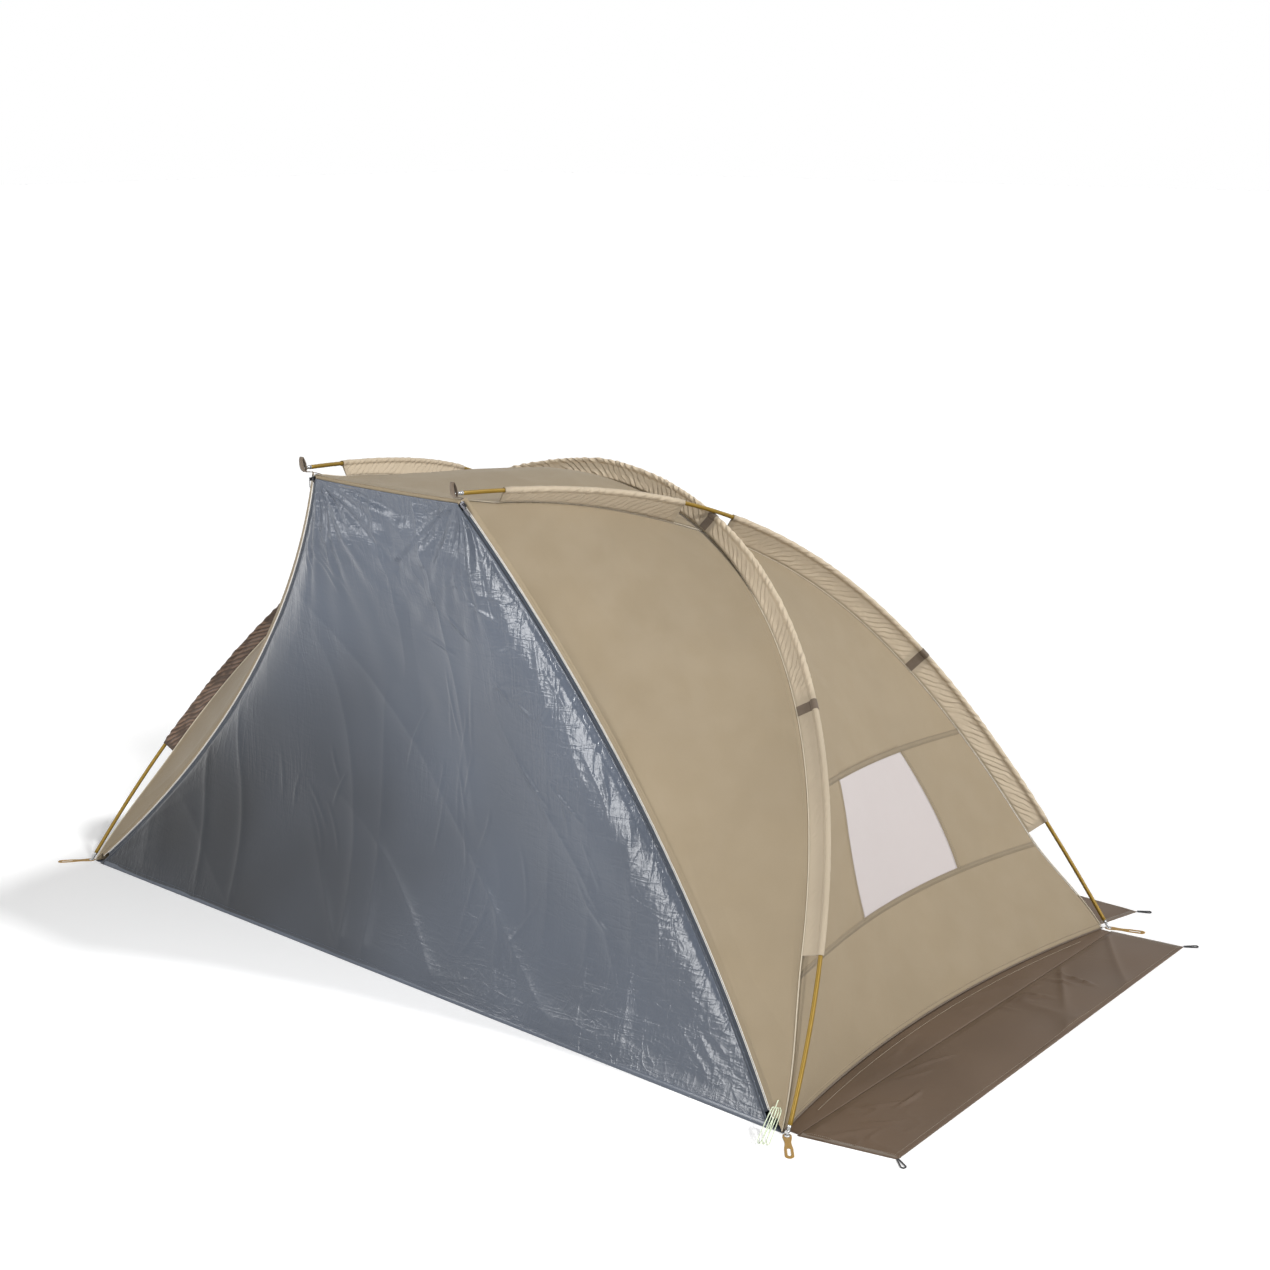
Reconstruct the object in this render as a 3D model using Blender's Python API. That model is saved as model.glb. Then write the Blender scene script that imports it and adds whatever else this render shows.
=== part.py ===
"""Beach tent with a zipped front door, three bent poles in sleeves, windows and sand flaps.

Metres, +Z up. X runs to the right, Y to the back. The origin lies on the ground, in the
middle of the tent's base.
"""

import math

import bmesh
import bpy
import numpy as np
from mathutils import Vector

# Base and poles
FRONT_SPAN = 2.300
REAR_SPAN = 2.262
BASE_DEPTH = 1.346
HOOP_RISE = 1.344
HOOP_LEAN = math.radians(35.3)
HOOP_FOOT_HANDLE_IN = 0.187
HOOP_FOOT_HANDLE_UP = 1.297
HOOP_CROWN_HANDLE = 0.086
RIDGE_TIP_SPAN = 0.478
RIDGE_TIP_BACK = 0.029
RIDGE_TIP_HEIGHT = 1.153
RIDGE_FRONT_HANDLE_OUT = 0.108
RIDGE_FRONT_HANDLE_BACK = 0.872
RIDGE_FRONT_HANDLE_DROP = 0.078
RIDGE_REAR_HANDLE_IN = 0.593
RIDGE_REAR_HANDLE_FORWARD = 0.056
RIDGE_REAR_HANDLE_UP = 0.836

# Pole tubes and their ends
POLE_DIAMETER = 0.0095
POLE_WALL = 0.0010
POLE_SIDES = 8
HOOP_SECTIONS = 6
RIDGE_SECTIONS = 3
JOINT_GAP = 0.0004
SPIGOT_LENGTH = 0.040
SPIGOT_CLEARANCE = 0.0003
SOCKET_EXTRA = 0.003
TIP_BODY_DIAMETER = 0.0072
TIP_BODY_LENGTH = 0.014
TIP_PIN_DIAMETER = 0.0048
TIP_PIN_LENGTH = 0.008
TIP_POINT_DIAMETER = 0.0024
TIP_POINT_LENGTH = 0.003
TIP_PLUG_LENGTH = 0.018
TIP_SIDES = 12

# Sleeves, the bands over them, and the canopy's distance from the poles
SEAT_GAP = 0.0003
SLEEVE_CLEARANCE = 0.0006
SLEEVE_FABRIC = 0.0009
SLEEVE_FIN_THICKNESS = 0.0018
SLEEVE_SIDES = 10
HOOP_SLEEVE_HEIGHT = 0.044
RIDGE_SLEEVE_HEIGHT = 0.054
RIDGE_SLEEVE_FRONT_HEIGHT = 0.032
RIDGE_TIP_DROP = 0.020
RIDGE_TIP_AHEAD = 0.024
FOOT_INSET = 0.015
HOOP_BARE_LEG = 0.365
RIDGE_BARE_FRONT = 0.130
RIDGE_FRONT_SLEEVE_LENGTH = 0.500
RIDGE_REAR_SLEEVE_START = 0.048
RIDGE_BARE_LEG = 0.300
BAND_THICKNESS = 0.0012
BAND_WIDTH = 0.024
BAND_FOOT_GAP = 0.0030
HOOP_BAND_FROM_CROSSING = 0.605
RIDGE_BAND_FROM_CROSSING = 0.675
RIDGE_LEAN_OUT_SHARE = 1.0

# Canopy fabric
CANOPY_THICKNESS = 0.0008
EDGE_INSET = 0.0009
PANEL_SLACK = 0.010
ROOF_FRONT_SAG = 0.003
CROWN_FADE_SHARE = 0.6
WING_HEM_HEIGHT = 0.022
WING_ZIP_GAP = 0.0011

# Side wall, its seams and its window
HEM_BOW = 0.070
WINDOW_THICKNESS = 0.0005
WINDOW_GAP = 0.0004
SEAM_ROW_SHARES = (0.42, 0.72)
HOOP_SEAM_SHARES = (0.530, 0.790)
RIDGE_SEAM_SHARES = (0.590, 0.820)
WINDOW_LEFT_SHARES = (0.244, 0.328)
WINDOW_RIGHT_SHARES = (0.655, 0.723)

# Groundsheet, door and flaps
GROUNDSHEET_THICKNESS = 0.0010
GROUNDSHEET_LIP = 0.003
DOOR_THICKNESS = 0.0010
DOOR_CORNER_INSET = 0.026
DOOR_EDGE_BOW = 0.124
DOOR_BOW_TURN = math.radians(22.6)
FLAP_THICKNESS = 0.0010
FLAP_FOLD_OUT = 0.014
FLAP_FRONT_REACH = 0.214
FLAP_REAR_REACH = 0.191
FLAP_FRONT_SLANT = 0.050
FLAP_REAR_SLANT = 0.026
FLAP_WAVE = 0.003
REAR_FLAP_DEPTH = 0.140
REAR_FLAP_SIDE_INSET = 0.030
REAR_FLAP_SPLAY = 0.034
FOLD_GAP = 0.0008

# Zip along each side of the door
ZIP_TAPE_WIDTH = 0.0095
ZIP_TAPE_THICKNESS = 0.0007
ZIP_CHAIN_WIDTH = 0.0024
ZIP_CHAIN_THICKNESS = 0.0016
ZIP_SPLIT = 0.0014
ZIP_GAP = 0.0004
ZIP_END = 0.026
SLIDER_LENGTH = 0.013
SLIDER_PLATE_WIDTH = 0.0104
SLIDER_PLATE_THICKNESS = 0.0012
SLIDER_POST_THICKNESS = 0.0007
SLIDER_PLAY = 0.0004
SLIDER_PARK = 0.020
BRIDGE_HEIGHT = 0.0052
BRIDGE_WIDTH = 0.0020
BRIDGE_LENGTH = 0.0080
BRIDGE_WALL = 0.0011
PULLER_LENGTH = 0.026
PULLER_THICKNESS = 0.0010
PULLER_EYE = 0.0040

# Corner straps, tip tabs, elastic loops and the guy line
STRAP_WIDTH = 0.018
STRAP_THICKNESS = 0.0016
STRAP_LENGTH = 0.078
STRAP_SLOT_LENGTH = 0.030
STRAP_SLOT_WIDTH = 0.007
EYELET_DIAMETER = 0.0108
FRONT_STRAP_TURN = math.radians(-50.0)
REAR_STRAP_TURN = math.radians(20.0)
TAB_WIDTH = 0.016
TAB_HEIGHT = 0.034
TAB_DEPTH = 0.012
TAB_THICKNESS = 0.0018
TAB_FOOT = 0.008
TAB_LEAN = 0.006
TAB_TAIL_WIDTH = 0.012
TAB_TAIL_THICKNESS = 0.0014
TAB_TAIL_LIFT = 0.0022
TAB_TAIL_OVERLAP = 0.012
ELASTIC_DIAMETER = 0.0030
ELASTIC_LOOP_LENGTH = 0.034
ELASTIC_LOOP_WIDTH = 0.010
ELASTIC_ROOT_SHARE = 0.35
ELASTIC_FRONT_TURN = math.radians(-35.0)
ELASTIC_REAR_TURN = math.radians(40.0)
ELASTIC_BACK_TURN = math.radians(30.0)
CORD_DIAMETER = 0.0022
HANK_LOOPS = 5
HANK_LENGTH = 0.080
HANK_WIDTH = 0.0132
HANK_LAYER = 0.0032
HANK_POINTS_PER_LOOP = 24
HANK_TOP_IN = 0.028
HANK_TOP_FORWARD = -0.004
HANK_TOP_HEIGHT = 0.050
HANK_FOOT_IN = 0.012
HANK_FOOT_FORWARD = 0.066
HANK_LEAD_BEND = 0.010
HANK_HOOK_SHARE = 0.38

HALF_FRONT = FRONT_SPAN / 2
HALF_REAR = REAR_SPAN / 2
FRONT_Y = -BASE_DEPTH / 2
REAR_Y = BASE_DEPTH / 2
POLE_RADIUS = POLE_DIAMETER / 2
BORE_RADIUS = POLE_RADIUS - POLE_WALL
SPIGOT_RADIUS = BORE_RADIUS * math.cos(math.pi / POLE_SIDES) - SPIGOT_CLEARANCE
SOCKET_DEPTH = SPIGOT_LENGTH + SOCKET_EXTRA
TIP_LENGTH = TIP_PIN_LENGTH + TIP_BODY_LENGTH
SLEEVE_BORE = (POLE_RADIUS + SLEEVE_CLEARANCE) / math.cos(math.pi / SLEEVE_SIDES)
SLEEVE_RADIUS = SLEEVE_BORE + SLEEVE_FABRIC
BAND_STANDOFF = SEAT_GAP + BAND_THICKNESS
CROSSING_SPACING = SLEEVE_RADIUS + BAND_STANDOFF + SEAT_GAP + POLE_RADIUS
HEM_Z = GROUNDSHEET_THICKNESS + SEAT_GAP + CANOPY_THICKNESS / 2
OVERRUN = 0.004
RIGHT = np.array([1.0, 0.0, 0.0])
UP = np.array([0.0, 0.0, 1.0])
DENSE = 600


def unit(vector):
    return vector / np.linalg.norm(vector)


def ease(share):
    share = np.clip(share, 0.0, 1.0)
    return share * share * (3.0 - 2.0 * share)


def eased(place, places, values):
    """The value at a place, passing smoothly from each given value to the next."""
    index = int(np.clip(np.searchsorted(places, place) - 1, 0, len(places) - 2))
    share = (place - places[index]) / (places[index + 1] - places[index])
    return values[index] + (values[index + 1] - values[index]) * ease(share)


def bezier(corners, count):
    """Points on a cubic curve with the four given corners."""
    share = np.linspace(0.0, 1.0, count)[:, None]
    rest = 1.0 - share
    first, second, third, last = corners
    return (
        first * rest**3
        + 3 * second * share * rest**2
        + 3 * third * share**2 * rest
        + last * share**3
    )


class Path:
    """A line through points, read at any distance along it, with an outward direction."""

    def __init__(self, points, outward=None):
        self.points = np.array(points, float)
        steps = np.linalg.norm(np.diff(self.points, axis=0), axis=1)
        self.reach = np.concatenate([[0.0], np.cumsum(steps)])
        self.length = float(self.reach[-1])
        runs = np.diff(self.points, axis=0) / steps[:, None]
        ahead = np.vstack([runs, runs[-1:]])
        behind = np.vstack([runs[:1], runs])
        self.tangents = np.array([unit(a + b) for a, b in zip(ahead, behind)])
        if outward is not None:
            self.outward = np.array([outward(i) for i in range(len(self.points))])

    def read(self, table, place):
        return np.array([np.interp(place, self.reach, table[:, axis]) for axis in range(3)])

    def at(self, place):
        inside = min(max(place, 0.0), self.length)
        return self.read(self.points, inside) + self.tangent(inside) * (place - inside)

    def tangent(self, place):
        return unit(self.read(self.tangents, place))

    def frame(self, place):
        """The point, the tangent, the outward and the sideways direction at a place."""
        tangent = self.tangent(place)
        out = self.read(self.outward, place)
        out = unit(out - tangent * (out @ tangent))
        return self.at(place), tangent, out, np.cross(tangent, out)

    def across(self, index, section):
        """A section of (sideways, outward) pairs set across one of the line's points."""
        tangent = self.tangents[index]
        out = self.outward[index]
        out = unit(out - tangent * (out @ tangent))
        side = np.cross(tangent, out)
        return np.array([self.points[index] + side * a + out * b for a, b in section])

    def stations(self, start, end):
        """The two places and the line's own points between them."""
        inner = [r for r in self.reach if start + OVERRUN < r < end - OVERRUN]
        return [start, *inner, end]


def even_points(points, count):
    """The same line with its points spread evenly."""
    line = Path(points)
    return np.array([line.at(s) for s in np.linspace(0.0, line.length, count)])


def hoop_points(count):
    """The hoop pole's centre line from the right foot over the crown to the left foot."""
    corners = np.array([
        (HALF_FRONT, 0.0),
        (HALF_FRONT - HOOP_FOOT_HANDLE_IN, HOOP_FOOT_HANDLE_UP),
        (HOOP_CROWN_HANDLE, HOOP_RISE),
        (0.0, HOOP_RISE),
    ])
    half = bezier(corners, DENSE)
    half = np.column_stack([
        half[:, 0],
        FRONT_Y + half[:, 1] * math.sin(HOOP_LEAN),
        half[:, 1] * math.cos(HOOP_LEAN),
    ])
    half = even_points(half, count)
    return np.vstack([half, half[-2::-1] * (-1.0, 1.0, 1.0)])


def ridge_corners():
    tip = np.array([RIDGE_TIP_SPAN / 2, FRONT_Y + RIDGE_TIP_BACK, RIDGE_TIP_HEIGHT])
    foot = np.array([HALF_REAR, REAR_Y, 0.0])
    front = np.array([RIDGE_FRONT_HANDLE_OUT, RIDGE_FRONT_HANDLE_BACK, -RIDGE_FRONT_HANDLE_DROP])
    rear = np.array([-RIDGE_REAR_HANDLE_IN, -RIDGE_REAR_HANDLE_FORWARD, RIDGE_REAR_HANDLE_UP])
    return [tip, tip + front, foot + rear, foot]


def crossing_of(hoop, ridge):
    """Where two dense lines pass nearest each other, and the outward direction across both."""
    apart = np.linalg.norm(hoop[:, None] - ridge[None], axis=2)
    i, j = np.unravel_index(apart.argmin(), apart.shape)
    along_hoop = unit(hoop[max(i - 1, 0)] - hoop[min(i + 1, len(hoop) - 1)])
    along_ridge = unit(ridge[min(j + 1, len(ridge) - 1)] - ridge[max(j - 1, 0)])
    across = unit(np.cross(along_ridge, along_hoop))
    return i, j, across * np.sign(across[2])


def pole_lines():
    """Both pole lines. The ridge pole's front handle is raised until it clears the hoop."""
    hoop = hoop_points(HALF_STATIONS * 12)
    right_half = hoop[: len(hoop) // 2 + 1]
    corners = ridge_corners()
    for _ in range(6):
        ridge = bezier(corners, DENSE)
        i, j, across = crossing_of(right_half, ridge)
        share = j / (DENSE - 1)
        pull = 3 * share * (1 - share) ** 2
        short = CROSSING_SPACING - (ridge[j] - right_half[i]) @ across
        corners[1] = corners[1] + across * short / pull
    return ridge


HALF_STATIONS = 27
RIDGE_STATIONS = 32

hoop_plane_normal = np.array([0.0, math.cos(HOOP_LEAN), -math.sin(HOOP_LEAN)])
hoop_line = hoop_points(HALF_STATIONS)
hoop = Path(hoop_line)
hoop.outward = np.array([unit(np.cross(t, hoop_plane_normal)) for t in hoop.tangents])
hoop.outward *= np.sign(hoop.outward[len(hoop_line) // 2][2])
ridge_dense = pole_lines()
ridge = Path(even_points(ridge_dense, RIDGE_STATIONS))
ridge_normal = unit(np.cross(
    ridge_dense[DENSE // 3] - ridge_dense[0], ridge_dense[-1] - ridge_dense[0]
))
ridge_out = np.array([unit(np.cross(t, ridge_normal)) for t in ridge.tangents])
ridge_out *= np.sign(ridge_out[0][2])
ridge.outward = np.array([unit(out + RIDGE_LEAN_OUT_SHARE * RIGHT) for out in ridge_out])


def nearest_places():
    """Places along the hoop and along the ridge pole where the two cross."""
    hoop_places = np.linspace(0.0, hoop.length / 2, DENSE)
    ridge_places = np.linspace(0.0, ridge.length, DENSE)
    hoop_dense = np.array([hoop.at(s) for s in hoop_places])
    ridge_read = np.array([ridge.at(s) for s in ridge_places])
    i, j, across = crossing_of(hoop_dense, ridge_read)
    return hoop_places[i], ridge_places[j], across


HOOP_CROSS, RIDGE_CROSS, CROSS_OUT = nearest_places()


def ridge_height(place):
    """How far the canopy lies inside the ridge pole."""
    front = RIDGE_BARE_FRONT
    crossing = CROSSING_SPACING + HOOP_SLEEVE_HEIGHT
    rear = ridge.length - RIDGE_BARE_LEG
    return eased(
        place,
        [RIDGE_TIP_AHEAD, front, RIDGE_CROSS, (RIDGE_CROSS + rear) / 2, rear, ridge.length],
        [RIDGE_TIP_DROP, RIDGE_SLEEVE_FRONT_HEIGHT, crossing, RIDGE_SLEEVE_HEIGHT,
         RIDGE_SLEEVE_HEIGHT, FOOT_INSET],
    )


def hoop_height(place):
    """How far the canopy lies inside the hoop pole."""
    from_foot = min(place, hoop.length - place)
    return eased(
        from_foot,
        [0.0, HOOP_BARE_LEG, hoop.length / 2],
        [FOOT_INSET, HOOP_SLEEVE_HEIGHT, HOOP_SLEEVE_HEIGHT],
    )


def ridge_seam_point(place):
    point, _, out, _ = ridge.frame(place)
    return point - out * ridge_height(place)


CORNER = ridge_seam_point(RIDGE_CROSS)
corner_point, _, corner_out, _ = hoop.frame(HOOP_CROSS)
CORNER_SHIFT = CORNER - (corner_point - corner_out * HOOP_SLEEVE_HEIGHT)
SHIFT_REACH = 0.300
SEAM_POINTS = 60


def hoop_seam_point(place):
    """On the right half. It is drawn to the crossing's corner near the crossing."""
    point, _, out, _ = hoop.frame(place)
    pull = ease(1.0 - abs(place - HOOP_CROSS) / SHIFT_REACH)
    return point - out * hoop_height(place) + CORNER_SHIFT * pull


def cut_at_hem(points):
    """A seam line that runs down, ended where it meets the hem's height."""
    kept = [points[0]]
    for point in points[1:]:
        if point[2] <= HEM_Z:
            before = kept[-1]
            share = (before[2] - HEM_Z) / (before[2] - point[2])
            kept.append(before + (point - before) * share)
            break
        kept.append(point)
    return Path(kept)


def seam_places(start, end):
    return np.linspace(start, end, SEAM_POINTS)


ridge_front_seam = Path([ridge_seam_point(s) for s in seam_places(RIDGE_TIP_AHEAD, RIDGE_CROSS)])
ridge_rear_seam = cut_at_hem(
    [ridge_seam_point(s) for s in seam_places(RIDGE_CROSS, ridge.length + FOOT_INSET)]
)
hoop_leg_seam = cut_at_hem([hoop_seam_point(s) for s in seam_places(HOOP_CROSS, -FOOT_INSET)])
crown_seam = Path(
    [hoop_seam_point(s) for s in seam_places(HOOP_CROSS, hoop.length / 2)]
    + [hoop_seam_point(s) * (-1.0, 1.0, 1.0) for s in seam_places(hoop.length / 2, HOOP_CROSS)[1:]]
)

# The door's side edge is an arc. The zip follows it.
ARC_TOP = ridge_front_seam.points[0]
ARC_FOOT = np.array([HALF_FRONT - DOOR_CORNER_INSET, FRONT_Y, DOOR_THICKNESS / 2])
ARC_CHORD = np.linalg.norm(ARC_FOOT - ARC_TOP)
ARC_DOWN = (ARC_FOOT - ARC_TOP) / ARC_CHORD
ARC_RADIUS = (ARC_CHORD**2 / 4 + DOOR_EDGE_BOW**2) / (2 * DOOR_EDGE_BOW)
arc_back = np.array([-math.sin(DOOR_BOW_TURN), math.cos(DOOR_BOW_TURN), 0.0])
ARC_BACK = unit(arc_back - ARC_DOWN * (arc_back @ ARC_DOWN))
ARC_AXIS = np.cross(ARC_DOWN, ARC_BACK)
ARC_CENTRE = (ARC_TOP + ARC_FOOT) / 2 - ARC_BACK * (ARC_RADIUS - DOOR_EDGE_BOW)
ARC_HALF_ANGLE = math.asin(ARC_CHORD / 2 / ARC_RADIUS)
ARC_LENGTH = 2 * ARC_HALF_ANGLE * ARC_RADIUS
ARC_STATIONS = 25


def arc_point(place):
    """A point of the right door edge at a distance down the arc, and its outward direction."""
    angle = place / ARC_RADIUS - ARC_HALF_ANGLE
    out = ARC_BACK * math.cos(angle) + ARC_DOWN * math.sin(angle)
    return ARC_CENTRE + out * ARC_RADIUS, out


ZIP_EDGE = ZIP_SPLIT / 2 + ZIP_TAPE_WIDTH + ZIP_GAP


def door_edge(place):
    return arc_point(place)[0] - ARC_AXIS * ZIP_EDGE


def door_edge_end():
    """The place down the arc where the door's edge meets the ground."""
    places = np.linspace(ARC_LENGTH * 0.9, ARC_LENGTH * 1.1, DENSE)
    heights = [door_edge(s)[2] for s in places]
    return float(np.interp(-DOOR_THICKNESS / 2, [-h for h in heights], places))


DOOR_EDGE_LENGTH = door_edge_end()
DOOR_FOOT = door_edge(DOOR_EDGE_LENGTH)
DOOR_PIVOT = (0.0, float(DOOR_FOOT[1]), float(DOOR_FOOT[2]))


def arc_path(start, end, count):
    places = np.linspace(start, end, count)
    path = Path([arc_point(s)[0] for s in places])
    path.outward = np.array([arc_point(s)[1] for s in places])
    return path


# Mesh helpers


def material(name, colour, roughness, metallic=0.0, alpha=1.0):
    made = bpy.data.materials.new(name)
    made.use_nodes = True
    shader = made.node_tree.nodes["Principled BSDF"]
    shader.inputs["Base Color"].default_value = (*colour, 1.0)
    shader.inputs["Roughness"].default_value = roughness
    shader.inputs["Metallic"].default_value = metallic
    shader.inputs["Alpha"].default_value = alpha
    return made


def add_object(name, bm, finish, sign=1, pivot=None, smooth=True):
    """An object from a bmesh of the right side. A sign of -1 makes the left side's."""
    for vert in bm.verts:
        vert.co.x *= sign
    bmesh.ops.recalc_face_normals(bm, faces=bm.faces)
    place = Vector((0.0, 0.0, 0.0)) if pivot is None else Vector(pivot)
    for vert in bm.verts:
        vert.co -= place
    mesh = bpy.data.meshes.new(name)
    bm.to_mesh(mesh)
    bm.free()
    if smooth:
        mesh.shade_smooth()
        mesh.set_sharp_from_angle(angle=math.radians(40))
    made = bpy.data.objects.new(name, mesh)
    made.location = place
    bpy.context.scene.collection.objects.link(made)
    mesh.materials.append(finish)
    return made


def loft(rings, wrap=False):
    """A solid through rings of equally many points, capped, or closed on itself."""
    bm = bmesh.new()
    made = [[bm.verts.new(point) for point in ring] for ring in rings]
    pairs = list(zip(made, made[1:]))
    if wrap:
        pairs.append((made[-1], made[0]))
    else:
        bm.faces.new(made[0])
        bm.faces.new(made[-1][::-1])
    for first, second in pairs:
        for i in range(len(first)):
            j = (i + 1) % len(first)
            bm.faces.new([first[j], first[i], second[i], second[j]])
    return bm


def place_section(path, place, section):
    """A section set across a path at any place, straight between the path's own points."""
    index = int(np.clip(np.searchsorted(path.reach, place, "right") - 1, 0, len(path.reach) - 2))
    share = (place - path.reach[index]) / (path.reach[index + 1] - path.reach[index])
    first = path.across(index, section)
    return first + (path.across(index + 1, section) - first) * share


def circle(radius, sides, turn=0.0):
    angles = [turn + 2 * math.pi * k / sides for k in range(sides)]
    return [(radius * math.cos(a), radius * math.sin(a)) for a in angles]


def turned(path, profile, sides):
    """A round solid along a path. The profile is a list of (place, radius) pairs."""
    rings = []
    for (start, r0), (end, r1) in zip(profile, profile[1:]):
        rings.append(place_section(path, start, circle(r0, sides)))
        if r0 == r1:
            low, high = min(start, end), max(start, end)
            inner = path.stations(low, high)[1:-1]
            for place in inner if end > start else inner[::-1]:
                rings.append(place_section(path, place, circle(r0, sides)))
    rings.append(place_section(path, profile[-1][0], circle(profile[-1][1], sides)))
    return loft(rings)


def sheet(name, rows, thickness, finish, sign=1, pivot=None, hole=None):
    """Thin cloth over rows of points. A hole leaves out a block of cells."""
    bm = bmesh.new()
    made = [[bm.verts.new(point) for point in row] for row in rows]
    for i in range(len(made) - 1):
        for j in range(len(made[0]) - 1):
            if hole and hole[0] <= i < hole[1] and hole[2] <= j < hole[3]:
                continue
            bm.faces.new([made[i][j], made[i][j + 1], made[i + 1][j + 1], made[i + 1][j]])
    cloth = add_object(name, bm, finish, sign, pivot)
    wall = cloth.modifiers.new("cloth thickness", "SOLIDIFY")
    wall.thickness = thickness
    wall.offset = 0.0
    wall.use_even_offset = True
    return cloth


def plate(outline, low, high):
    """A flat plate of an outline in X and Y between two heights."""
    return loft([[(x, y, low) for x, y in outline], [(x, y, high) for x, y in outline]])


def boolean(body, bm, label, sign, operation):
    """A Boolean with a hidden helper made from a bmesh of the right side."""
    for vert in bm.verts:
        vert.co.x *= sign
    bmesh.ops.recalc_face_normals(bm, faces=bm.faces)
    mesh = bpy.data.meshes.new(label)
    bm.to_mesh(mesh)
    bm.free()
    helper = bpy.data.objects.new(label, mesh)
    helper.hide_render = True
    helper.display_type = "WIRE"
    bpy.context.scene.collection.objects.link(helper)
    made = body.modifiers.new(label, "BOOLEAN")
    made.operation = operation
    made.solver = "EXACT"
    made.object = helper


def cut(body, bm, label, sign=1):
    boolean(body, bm, label, sign, "DIFFERENCE")


def join(body, bm, label, sign=1):
    boolean(body, bm, label, sign, "UNION")


def clear_scene():
    for thing in list(bpy.data.objects):
        bpy.data.objects.remove(thing, do_unlink=True)


def finishes():
    return {
        "canopy": material("canopy cloth", (0.34, 0.27, 0.18), 0.75),
        "sleeve": material("sleeve cloth", (0.50, 0.41, 0.29), 0.75),
        "band": material("brown webbing", (0.13, 0.09, 0.06), 0.8),
        "pole": material("gold pole", (0.40, 0.26, 0.04), 0.35, 0.3),
        "silver": material("pole tip metal", (0.62, 0.64, 0.66), 0.3, 1.0),
        "strap": material("gold webbing", (0.42, 0.25, 0.02), 0.7),
        "sheet": material("coated groundsheet", (0.10, 0.12, 0.15), 0.35),
        "window": material("window film", (0.62, 0.56, 0.57), 0.5, 0.0, 0.8),
        "flap": material("sand flap cloth", (0.18, 0.12, 0.08), 0.8),
        "zip": material("zip tape", (0.75, 0.72, 0.68), 0.6),
        "slider": material("zip slider metal", (0.08, 0.08, 0.09), 0.4, 0.8),
        "elastic": material("elastic cord", (0.02, 0.02, 0.02), 0.7),
        "cord": material("guy line", (0.62, 0.75, 0.45), 0.6),
    }


# Poles


def pole_sections(path, label, count, first_end, last_end, finish, sign=1):
    """Equal tubes. Each but the last carries a spigot that enters the next tube's socket."""
    run = last_end - first_end
    step = run / count
    for k in range(count):
        start = first_end + k * step + (JOINT_GAP if k else 0.0)
        end = first_end + (k + 1) * step
        profile = [(start + SOCKET_DEPTH, BORE_RADIUS), (start, BORE_RADIUS), (start, POLE_RADIUS)]
        profile.append((end, POLE_RADIUS))
        if k < count - 1:
            profile += [(end, SPIGOT_RADIUS), (end + SPIGOT_LENGTH, SPIGOT_RADIUS)]
        else:
            profile += [(end, BORE_RADIUS), (end - SOCKET_DEPTH, BORE_RADIUS)]
        add_object(f"{label}_section_{k + 1}", turned(path, profile, POLE_SIDES), finish, sign)


def pole_tip(name, path, at_end, finish, sign=1):
    """A pin and body outside the tube and a plug inside it."""
    base = path.length if at_end else 0.0
    inward = -1.0 if at_end else 1.0
    rise = abs(path.tangent(base)[2])
    lift = TIP_POINT_DIAMETER / 2 * math.sqrt(1.0 - rise**2) / rise if rise > 0.3 else 0.0
    stops = [
        (lift, TIP_POINT_DIAMETER / 2),
        (lift + TIP_POINT_LENGTH, TIP_PIN_DIAMETER / 2),
        (TIP_PIN_LENGTH, TIP_PIN_DIAMETER / 2),
        (TIP_PIN_LENGTH, TIP_BODY_DIAMETER / 2),
        (TIP_LENGTH - JOINT_GAP, TIP_BODY_DIAMETER / 2),
        (TIP_LENGTH - JOINT_GAP, SPIGOT_RADIUS),
        (TIP_LENGTH + TIP_PLUG_LENGTH, SPIGOT_RADIUS),
    ]
    profile = [(base + inward * place, radius) for place, radius in stops]
    rings = [place_section(path, place, circle(r, TIP_SIDES)) for place, r in profile]
    add_object(name, loft(rings), finish, sign)


def build_poles(finish, silver):
    pole_sections(hoop, "hoop_pole", HOOP_SECTIONS, TIP_LENGTH, hoop.length - TIP_LENGTH, finish)
    pole_tip("hoop_tip_right", hoop, False, silver)
    pole_tip("hoop_tip_left", hoop, True, silver)
    for side, sign in SIDES:
        pole_sections(ridge, f"ridge_pole_{side}", RIDGE_SECTIONS, TIP_LENGTH,
                      ridge.length - TIP_LENGTH, finish, sign)
        pole_tip(f"ridge_tip_front_{side}", ridge, False, silver, sign)
        pole_tip(f"ridge_tip_rear_{side}", ridge, True, silver, sign)


# Sleeves and bands


def sleeve_angles():
    """Directions of the sleeve's bore corners, open towards the canopy."""
    first = -math.pi / 2 + math.pi / SLEEVE_SIDES
    return [first + 2 * math.pi * k / SLEEVE_SIDES for k in range(SLEEVE_SIDES)]


def sleeve_outline(height, grow, foot):
    """Round over the pole and a tapering fin down to the canopy, grown outwards by a gap."""
    angles = sleeve_angles()
    radius = SLEEVE_RADIUS + grow / math.cos(math.pi / SLEEVE_SIDES)
    half = SLEEVE_FIN_THICKNESS / 2 + grow
    points = [(half, -height + foot)]
    points += [(radius * math.cos(a), radius * math.sin(a)) for a in angles[1:-1]]
    points.append((-half, -height + foot))
    return points


def band_ends(centre):
    return [centre - BAND_WIDTH / 2, centre + BAND_WIDTH / 2]


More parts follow.
